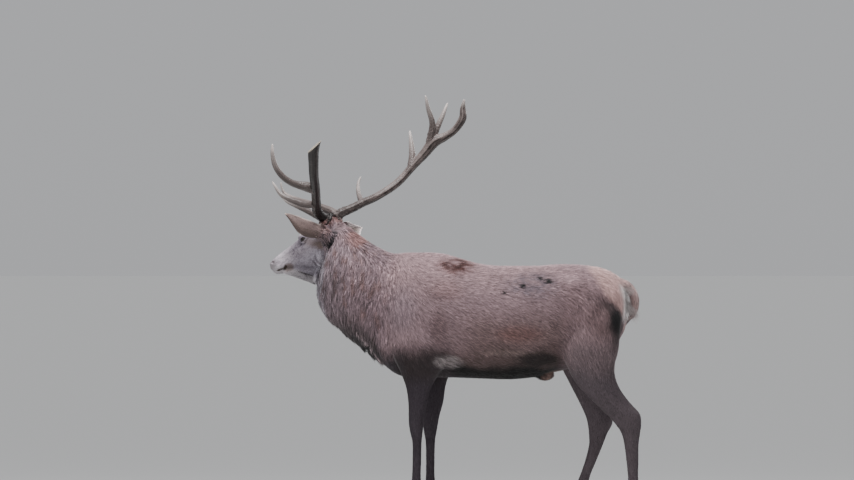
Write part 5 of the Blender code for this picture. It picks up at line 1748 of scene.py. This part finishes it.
def coat(skin):
    """Every piece of the coat, with the slot it takes its finish from."""
    part, hairy = skin.part, bare(skin)
    y = skin.middles[:, 1]
    on_left = head_places(skin.middles)[:, 1] > 0
    thin = 1.0
    fringed = 1 + 160 * rump_rise(skin.middles)
    pieces = []

    def piece(name, slot, per_metre, *rest, **more):
        pieces.append((grow(skin, name, per_metre * thin, *rest, **more), slot))

    for side, chosen in (("left", on_left), ("right", ~on_left)):
        nth = side == "left"
        piece(
            f"face_coat_{side}", "face_coat", 260e3 * part["head"] * hairy * chosen,
            face_length, by_part(head=0.0019, ear=0.002, crown=0.003, neck=0.004, mane=0.004),
            2, 11 + nth, stand=(0.5, 1.0), least_rise=0.0012, vary=face_unevenness, turned=0.14,
        )
        piece(
            f"ear_coat_{side}", "face_coat", 230e3 * part["ear"] * chosen,
            ear_length, by_part(ear=0.0020, head=0.002, crown=0.002),
            2, 21 + nth, stand=(0.5, 1.0), least_rise=0.0014, vary=0.16, turned=0.12,
        )
    piece(
        "crown_coat", "brown_coat", 150e3 * part["crown"],
        crown_length, by_part(crown=0.0030, head=0.003, neck=0.0045, ear=0.002),
        3, 31, stand=(0.5, 1.1), least_rise=0.006, clumps=(0.12, 0.30), turned=0.25, extra=crown_rise,
    )
    for side, chosen in (("left", y < 0), ("right", y >= 0)):
        nth = side == "left"
        piece(
            f"neck_coat_{side}", "mane_coat", 72e3 * part["neck"] * chosen,
            by_part(neck=0.060, mane=0.070, crown=0.035, trunk=0.032),
            by_part(neck=0.0043, mane=0.0050, crown=0.0035, trunk=0.0042),
            3, 41 + nth, stand=(0.55, 1.05), clumps=(0.12, 0.40), turned=0.15,
        )
        piece(
            f"throat_mane_{side}", "mane_coat", 60e3 * part["mane"] * chosen,
            mane_length, by_part(neck=0.0048, mane=0.0056, crown=0.004, trunk=0.0045),
            4, 51 + nth, stand=(0.75, 1.15), clumps=(0.09, 0.50), hang=0.05, turned=0.18,
            extra=throat_rise,
        )
        piece(
            f"body_coat_{side}", "brown_coat", 47e3 * part["trunk"] * chosen * fringed,
            body_length, by_part(trunk=0.0048, leg=0.004, neck=0.0050, tail=0.005, mane=0.0055),
            2, 61 + nth, stand=(0.55, 1.15), turned=0.20, extra=body_rise,
        )
        piece(
            f"leg_coat_{side}", "leg_coat", 75e3 * part["leg"] * hairy * chosen,
            by_part(leg=0.016, trunk=0.024), by_part(leg=0.0034, trunk=0.0043),
            2, 71 + nth, stand=(0.5, 1.1), turned=0.12, vary=0.16,
        )
    piece(
        "tail_coat", "brown_coat", 90e3 * part["tail"],
        by_part(tail=0.050, trunk=0.03), by_part(tail=0.0045, trunk=0.0045),
        3, 81, stand=(0.5, 1.2), clumps=(0.12, 0.3),
    )
    return pieces


# ---------------------------------------------------------------- antlers
BLOCK = 4000  # points looked at together, to spare memory
PEARLS = 22  # round a burr
BREAK_REACH = 0.08  # all of the broken face lies within this of its middle


def tube_samples(tubes):
    """Places along all tubes: centre, radius, two ways across, distance from root and to tip, tube."""
    rows = []
    for index, tube in enumerate(tubes):
        path = smooth_rows(tube, 16)
        centres = path[:, :3]
        ways = unit(np.gradient(centres, axis=0))
        run = np.concatenate([[0], np.cumsum(lengths(np.diff(centres, axis=0)))])
        side = np.cross(ways[0], TUBE_SIDE)
        for centre, way, radius, s in zip(centres, ways, path[:, 3], run):
            side = unit(side - way * (side @ way))
            rows.append([*centre, radius, *side, *np.cross(way, side), s, run[-1] - s, index])
    return np.array(rows)


def bone_detail(obj, tubes, broken):
    """Long furrows, pearls near the burr, and the colour of old bone with polished tips; painted light on
    its upper sides, and painted shade on the broken antler.
    """
    dark, mid, pale = shade(30, 24, 23), shade(126, 113, 110), shade(188, 178, 174)
    points, normals = mesh_points(obj), mesh_normals(obj)
    samples = tube_samples(tubes)
    found = np.empty(len(points), int)
    for start in range(0, len(points), BLOCK):
        block = points[start : start + BLOCK]
        away = lengths(block[:, None] - samples[None, :, :3]) - samples[None, :, 3]
        found[start : start + BLOCK] = away.argmin(1)
    near = samples[found]
    offset = points - near[:, :3]
    turn = np.arctan2((offset * near[:, 7:10]).sum(1), (offset * near[:, 4:7]).sum(1))
    from_root, to_tip, tube = near[:, 10], near[:, 11], near[:, 12]
    sway = 1.3 * np.sin(from_root * 14 + tube * 2.1)
    furrow = (
        np.cos(7 * turn + sway + tube)
        + 0.7 * np.cos(11 * turn - 1.6 * sway + 2)
        + 0.5 * np.cos(17 * turn + 2.2 * sway + 4)
    ) / 2.2
    on_beam = tube == 0
    polish = soft(to_tip, 0.03, 0.13)
    if broken:
        polish = np.where(on_beam, 1.0, polish)
    near_burr = on_beam * falls(from_root, 0.03, 0.24)
    fine = grain(points, 0.0065, 1.0)
    coarse = grain(points, 0.030, 5.0)
    pearls = soft(fine, 0.05, 0.55)
    low_tine = (~on_beam) * falls(from_root, 0.05, 0.16)
    pearly = np.clip(near_burr + 0.6 * low_tine + 0.18 * on_beam, 0, 1)
    rise = polish * (0.0007 * furrow + 0.0004 * fine) + 0.0022 * pearly * pearls * polish
    points += normals * rise[:, None]
    set_points(obj, points)
    # Painted light: the upper sides are paler, as if lit from above; furrows, pearls and grain are the
    # bone's own wear.
    top_light = soft(normals[:, 2], -0.2, 0.9)
    wear_and_painted_light = np.clip(0.18 + 0.30 * furrow + 0.35 * pearls * pearly + 0.25 * coarse + 0.35 * top_light, 0, 1)
    wear_and_painted_light *= 0.45 + 0.55 * soft(from_root, 0.05, 0.35)
    # Painted shade: the broken left antler is darker all over.
    wear_and_painted_light *= 0.34 if broken else 1.0
    wear_and_painted_light = np.where(on_beam, wear_and_painted_light, np.clip(wear_and_painted_light + 0.22, 0, 1))
    colour = dark + (mid - dark) * wear_and_painted_light[:, None]
    # Painted shade: its beam darker still.
    if broken:
        colour[on_beam] *= 0.5
    tip = falls(to_tip, 0.002, 0.050) * 0.60 + (~on_beam) * falls(to_tip, 0.03, 0.16) * 0.42
    tip = np.where(on_beam & broken, 0, tip) * (0.8 + 0.3 * furrow)
    colour = colour + (pale - colour) * np.clip(tip, 0, 1)[:, None]
    return colour


def burr_forms(burr, rising):
    """The knobbly ring at an antler's root."""
    rng = np.random.default_rng(5)
    turn = rising.to_track_quat("Z", "Y").to_matrix()
    radius, thick = BURR
    forms = [ball("burr", burr, (radius * 0.93, radius * 0.93, thick * 1.2), turn, segments=32)]
    for i in range(PEARLS):
        t = 2 * math.pi * (i + 0.4 * rng.random()) / PEARLS
        size = rng.uniform(0.0042, 0.0064)
        at = turn @ Vector((math.cos(t), math.sin(t), 0)) * (radius * 0.90)
        at += rising.normalized() * rng.uniform(-0.002, 0.004)
        forms.append(ball("pearl", burr + at, (size, size, size * 1.3), turn, segments=12))
    return forms


BREAK_COLOUR = shade(142, 132, 120)


def antler_bone(side):
    """One antler as one piece of bone."""
    rows = [in_antlers(row, side) for row in BEAM[side] + BEAM_TOP[side]]
    tines = [[in_antlers(row, side) for row in tine] for tine in TINES[side].values()]
    forms = [round_tube("beam_form", rows, sides=28, steps=8)]
    forms += [round_tube("tine_form", tine, sides=24, steps=8) for tine in tines]
    burr, rising = Vector(rows[0][:3]), Vector(rows[1][:3]) - Vector(rows[0][:3])
    forms += burr_forms(burr, rising)
    bone = fused(joined(f"antler_{side}", forms), ANTLER_VOXEL, 5)
    without_islands(bone)
    broken = side == "left"
    if broken:
        point, facing = ANTLER_FRAME @ Vector(BREAK_AT), Vector(BREAK_FACES).normalized()
        cut_short(bone, point, facing, Vector(rows[-1][:3]))
        roughen_break(bone, point, facing)
    colour = bone_detail(bone, [rows, *tines], broken)
    if broken:
        offset = mesh_points(bone) - np.array(point)
        from_cut = np.abs(offset @ np.array(facing))
        close = lengths(offset) < BREAK_REACH
        fresh = close * falls(from_cut, 0.0022, 0.0040)
        colour = colour + (BREAK_COLOUR - colour) * fresh[:, None]
    paint(bone.data, colour)
    return bone


def roughen_break(bone, point, facing):
    """Gives the broken face many points, and makes it uneven."""

    def on_cut(face, least):
        flat = abs(face.normal.dot(facing)) > least
        return flat and abs((face.calc_center_median() - point).dot(facing)) < 0.002

    def close(place):
        return (place - point).length < BREAK_REACH

    with reshaping(bone.data) as shape:
        cap = [f for f in shape.faces if on_cut(f, 0.95)]
        bmesh.ops.triangulate(shape, faces=[f for f in cap if len(f.verts) > 3])
        for _ in range(3):
            cap = [f for f in shape.faces if on_cut(f, 0.9) and close(f.calc_center_median())]
            edges = [e for e in {e for f in cap for e in f.edges} if e.calc_length() > 0.003]
            if edges:
                bmesh.ops.subdivide_edges(shape, edges=edges, cuts=1)
                bmesh.ops.triangulate(shape, faces=[f for f in shape.faces if len(f.verts) > 4])
        for vert in shape.verts:
            if abs((vert.co - point).dot(facing)) < 0.001 and close(vert.co):
                vert.co += facing * 0.0018 * noise.noise(vert.co * 160)


# ---------------------------------------------------------------- eyes and hooves
IRIS = shade(30, 18, 13)
IRIS_EDGE = shade(24, 14, 10)
PUPIL = shade(4, 4, 5)
WHITE = shade(120, 104, 96)
HORN = shade(44, 38, 36)


def eye(side):
    """An eyeball with its iris and its level, oval pupil."""
    centre, out, along, up = eye_axes(side)
    turn = Matrix((along, up, out)).transposed()
    made = ball(f"eyeball_{side}", centre, [EYE_RADIUS - 0.0002] * 3, turn, segments=72)
    points = mesh_points(made) - centre
    across, above = points @ along / EYE_RADIUS, points @ up / EYE_RADIUS
    front = points @ out > 0
    round_iris = np.hypot(across, above)
    pupil = np.hypot(across / 0.36, above / 0.17)
    colour = np.tile(WHITE, (len(points), 1))
    for paint_in, share in (
        (IRIS_EDGE, falls(round_iris, 0.80, 0.88)),
        (IRIS, falls(round_iris, 0.62, 0.78)),
        (PUPIL, falls(pupil, 0.90, 1.08)),
    ):
        share = (share * front)[:, None]
        colour = colour + (paint_in - colour) * share
    paint(made.data, colour)
    made.data.shade_smooth()
    return made


def leg_at(kind, side, place, height):
    """Front x, back x and y of a leg at a height, and which way along y the place lies."""
    rows = smooth_rows(LEGS[kind][side], 4)
    row = rows[np.abs(rows[:, 0] - height).argmin()]
    aside = Y_SIGN[side] * (1 if place == "outer" else -1)
    return row[1], row[2], Y_SIGN[side] * row[3], aside


def claw(kind, side, place):
    """One claw: a curved wall with growth rings, rounded off where it meets the coronet."""
    front, back, y, aside = leg_at(kind, side, place, CORONET)
    middle = (front + back) / 2
    rings = [
        (middle + f, y + aside * CLAW_ASIDE, z, middle + b, y + aside * CLAW_ASIDE, z)
        + (0, 1, 0, width, 0.55, 1.9, 2.6)
        for z, f, b, width in CLAW
    ]
    made = loft(f"claw_{kind}_{side}_{place}", rings, sides=40, steps=12)
    points, normals = mesh_points(made), mesh_normals(made)
    wall = (np.abs(normals[:, 2]) < 0.75) * soft(points[:, 2], 0.002, 0.010)
    ring = 0.00035 * np.sin(points[:, 2] * 1250 + 5 * points[:, 0]) - 0.0003
    points += normals * (wall * ring)[:, None]
    points[points[:, 2] < 0.0004, 2] = 0.0
    set_points(made, points)
    return made


def spur(kind, side, place):
    """One dewclaw."""
    _, back, y, aside = leg_at(kind, side, place, DEWCLAW_HEIGHT)
    at = (back - 0.004, y + aside * 0.016, DEWCLAW_HEIGHT)
    return ball(f"spur_{kind}_{side}_{place}", at, DEWCLAW, segments=24)


# ---------------------------------------------------------------- finishes
def node(tree, kind, settings=None, **values):
    """A new node of a tree, with these settings, and with these values on its inputs."""
    made = tree.nodes.new(kind)
    for name, value in (settings or {}).items():
        setattr(made, name, value)
    set_inputs(made, **values)
    return made


def set_inputs(made, **values):
    """Sets a node's inputs; in their names _ stands for a space."""
    for name, value in values.items():
        made.inputs[name.replace("_", " ")].default_value = value


def mottle_group():
    """Fine streaks and specks over a colour, and their height."""
    group = bpy.data.node_groups.new("fine_mottle", "ShaderNodeTree")
    for name, way, kind in (
        ("Colour", "INPUT", "Color"),
        ("Size", "INPUT", "Float"),
        ("Strength", "INPUT", "Float"),
        ("Stretch", "INPUT", "Vector"),
        ("Colour", "OUTPUT", "Color"),
        ("Height", "OUTPUT", "Float"),
    ):
        group.interface.new_socket(name=name, in_out=way, socket_type=f"NodeSocket{kind}")
    link = group.links.new
    given, given_out = node(group, "NodeGroupInput"), node(group, "NodeGroupOutput")
    where = node(group, "ShaderNodeTexCoord")
    stretch = node(group, "ShaderNodeVectorMath", {"operation": "MULTIPLY"})
    link(where.outputs["Object"], stretch.inputs[0])
    link(given.outputs["Stretch"], stretch.inputs[1])
    fine = node(group, "ShaderNodeTexNoise", Detail=3.0, Roughness=0.6)
    link(stretch.outputs["Vector"], fine.inputs["Vector"])
    link(given.outputs["Size"], fine.inputs["Scale"])
    range_of_tone = {"From_Min": 0.3, "From_Max": 0.7, "To_Min": 0.55, "To_Max": 1.35}
    spread_out = node(group, "ShaderNodeMapRange", **range_of_tone)
    link(fine.outputs["Fac"], spread_out.inputs["Value"])
    times = node(group, "ShaderNodeVectorMath", {"operation": "SCALE"})
    link(given.outputs["Colour"], times.inputs[0])
    link(spread_out.outputs["Result"], times.inputs["Scale"])
    mix = node(group, "ShaderNodeMix", {"data_type": "RGBA"})
    link(given.outputs["Strength"], mix.inputs["Factor"])
    link(given.outputs["Colour"], mix.inputs["A"])
    link(times.outputs["Vector"], mix.inputs["B"])
    link(mix.outputs["Result"], given_out.inputs["Colour"])
    link(fine.outputs["Fac"], given_out.inputs["Height"])
    return group


def finish(name, mottle, size, strength, roughness, stretch=(1, 1, 1), bump=0.0, coat=0.0, sheen=0.0):
    """A material that takes its colour from the piece's own points."""
    material = bpy.data.materials.new(name)
    material.use_nodes = True
    tree = material.node_tree
    shader = tree.nodes["Principled BSDF"]
    set_inputs(shader, Roughness=roughness, Specular_IOR_Level=0.25, Coat_Weight=coat)
    set_inputs(shader, Coat_Roughness=0.04, Sheen_Weight=sheen, Sheen_Roughness=0.5)
    kept = node(tree, "ShaderNodeAttribute", {"attribute_name": "shade"})
    settings = {"Size": size, "Strength": strength, "Stretch": stretch}
    group = node(tree, "ShaderNodeGroup", {"node_tree": mottle}, **settings)
    tree.links.new(kept.outputs["Color"], group.inputs["Colour"])
    tree.links.new(group.outputs["Colour"], shader.inputs["Base Color"])
    if bump:
        lumps = node(tree, "ShaderNodeBump", Strength=0.6, Distance=bump)
        tree.links.new(group.outputs["Height"], lumps.inputs["Height"])
        tree.links.new(lumps.outputs["Normal"], shader.inputs["Normal"])
    return material


def finishes():
    """Every finish by name."""
    mottle = mottle_group()
    return {
        "brown_coat": finish("brown_coat", mottle, 130, 0.25, 0.75, sheen=0.15),
        "mane_coat": finish("mane_coat", mottle, 110, 0.30, 0.75, sheen=0.15),
        "face_coat": finish("face_coat", mottle, 300, 0.25, 0.75, sheen=0.1),
        "leg_coat": finish("leg_coat", mottle, 200, 0.30, 0.80),
        "skin": finish("skin_under_coat", mottle, 260, 0.45, 0.70, bump=0.002),
        "antler": finish("antler_bone", mottle, 420, 0.5, 0.36, bump=0.0008),
        "eye": finish("wet_eye", mottle, 300, 0.0, 0.10, coat=0.12),
        "hoof": finish("horn", mottle, 300, 0.5, 0.42, stretch=(1, 1, 3), bump=0.0006),
    }


# ---------------------------------------------------------------- the studio
VIEW_WIDTH = 4.0138  # metres across the picture at the stag
CAMERA_AWAY = 60.0
CAMERA_AT = (-0.1363, 1.2925)  # x and height
SENSOR = 36.0
FLOOR = 400.0  # half the floor's side, so that its far edge is out of sight


def studio(shift):
    """The camera, the floor, the sky's light and three lamps."""
    camera = bpy.data.cameras.new("camera")
    camera.sensor_width = SENSOR
    camera.lens = SENSOR * CAMERA_AWAY / VIEW_WIDTH
    camera.clip_end = 900
    held = in_scene("camera", camera)
    held.location = (CAMERA_AT[0] + shift[0], -CAMERA_AWAY + shift[1], CAMERA_AT[1])
    held.rotation_euler = (math.radians(90), 0, 0)
    bpy.context.scene.camera = held
    corners = [(-FLOOR, -FLOOR, 0), (FLOOR, -FLOOR, 0), (FLOOR, FLOOR, 0), (-FLOOR, FLOOR, 0)]
    floor = solid("floor", corners, [(0, 1, 2, 3)])
    pale = bpy.data.materials.new("floor")
    pale.use_nodes = True
    shader = pale.node_tree.nodes["Principled BSDF"]
    set_inputs(shader, Base_Color=(0.62, 0.62, 0.61, 1), Roughness=0.9, Specular_IOR_Level=0.1)
    floor.data.materials.append(pale)
    world = bpy.data.worlds.new("studio")
    world.use_nodes = True
    tree = world.node_tree
    sky = tree.nodes["Background"]
    set_inputs(sky, Color=(0.96, 0.97, 1.0, 1))
    where = node(tree, "ShaderNodeTexCoord")
    apart = node(tree, "ShaderNodeSeparateXYZ")
    rising = node(tree, "ShaderNodeMapRange", To_Min=0.465, To_Max=0.95)
    tree.links.new(where.outputs["Generated"], apart.inputs["Vector"])
    tree.links.new(apart.outputs["Z"], rising.inputs["Value"])
    tree.links.new(rising.outputs["Result"], sky.inputs["Strength"])
    bpy.context.scene.world = world
    for name, at, size, power in (
        ("overhead", (-0.3, -0.9, 4.8), 2.4, 300),
        ("front_left", (-3.6, -4.6, 3.4), 2.6, 90),
        ("rear_right", (3.0, 4.2, 3.2), 2.6, 120),
    ):
        lamp = bpy.data.lights.new(name, "AREA")
        lamp.size, lamp.energy = size, power
        hung = in_scene(name, lamp)
        hung.location = at
        facing = Vector((0, 0, 1.0)) - Vector(at)
        hung.rotation_euler = facing.to_track_quat("-Z", "Y").to_euler()


# ---------------------------------------------------------------- putting it together
def placed(obj, shift, material, replaced=()):
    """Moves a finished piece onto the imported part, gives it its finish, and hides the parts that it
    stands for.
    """
    obj.data.transform(Matrix.Translation(Vector(shift)))
    obj.data.materials.clear()
    obj.data.materials.append(material)
    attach(obj, "root")
    if replaced:
        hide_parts(*replaced)


def main():
    """Sets up the studio, then makes every piece and puts it in its place."""
    low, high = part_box("eye_left")
    shift = np.array((low + high) / 2) - np.array(in_head(EYE_AT, "left"))
    shift[2] = 0.0
    studio(shift)
    nodes = list(frame["nodes"])
    finish_for = finishes()
    body = skin()
    body.data.shade_smooth()
    about = Skin(body, shift)
    under = markings(about.points)
    deep = regions(about.points)
    # Painted shade on the skin between the tufts, deepest under the long hair.
    long_hair = deep["neck"] + deep["mane"] + deep["crown"] + deep["tail"]
    darker = 1 - 0.45 * (long_hair + 0.5 * deep["trunk"])
    paint(body.data, under * np.clip(darker, 0.4, 1)[:, None])
    for piece, slot in coat(about):
        placed(piece, shift, finish_for[slot])
    flesh = [n for n in nodes if n.startswith(FLESH_NODES)]
    placed(body, shift, finish_for["skin"], flesh)
    for side in SIGN:
        bone = antler_bone(side)
        bone.data.shade_smooth()
        own = [n for n in nodes if n.startswith(f"antler_{side}")]
        placed(bone, shift, finish_for["antler"], own)
        placed(eye(side), shift, finish_for["eye"], [f"eye_{side}"])
        for kind in LEGS:
            for place in ("inner", "outer"):
                for make, node in ((claw, "hoof"), (spur, "dewclaw")):
                    made = make(kind, side, place)
                    paint(made.data, np.tile(HORN, (len(made.data.vertices), 1)))
                    made.data.shade_smooth()
                    placed(made, shift, finish_for["hoof"], [f"{node}_{kind}_{side}_{place}"])


main()
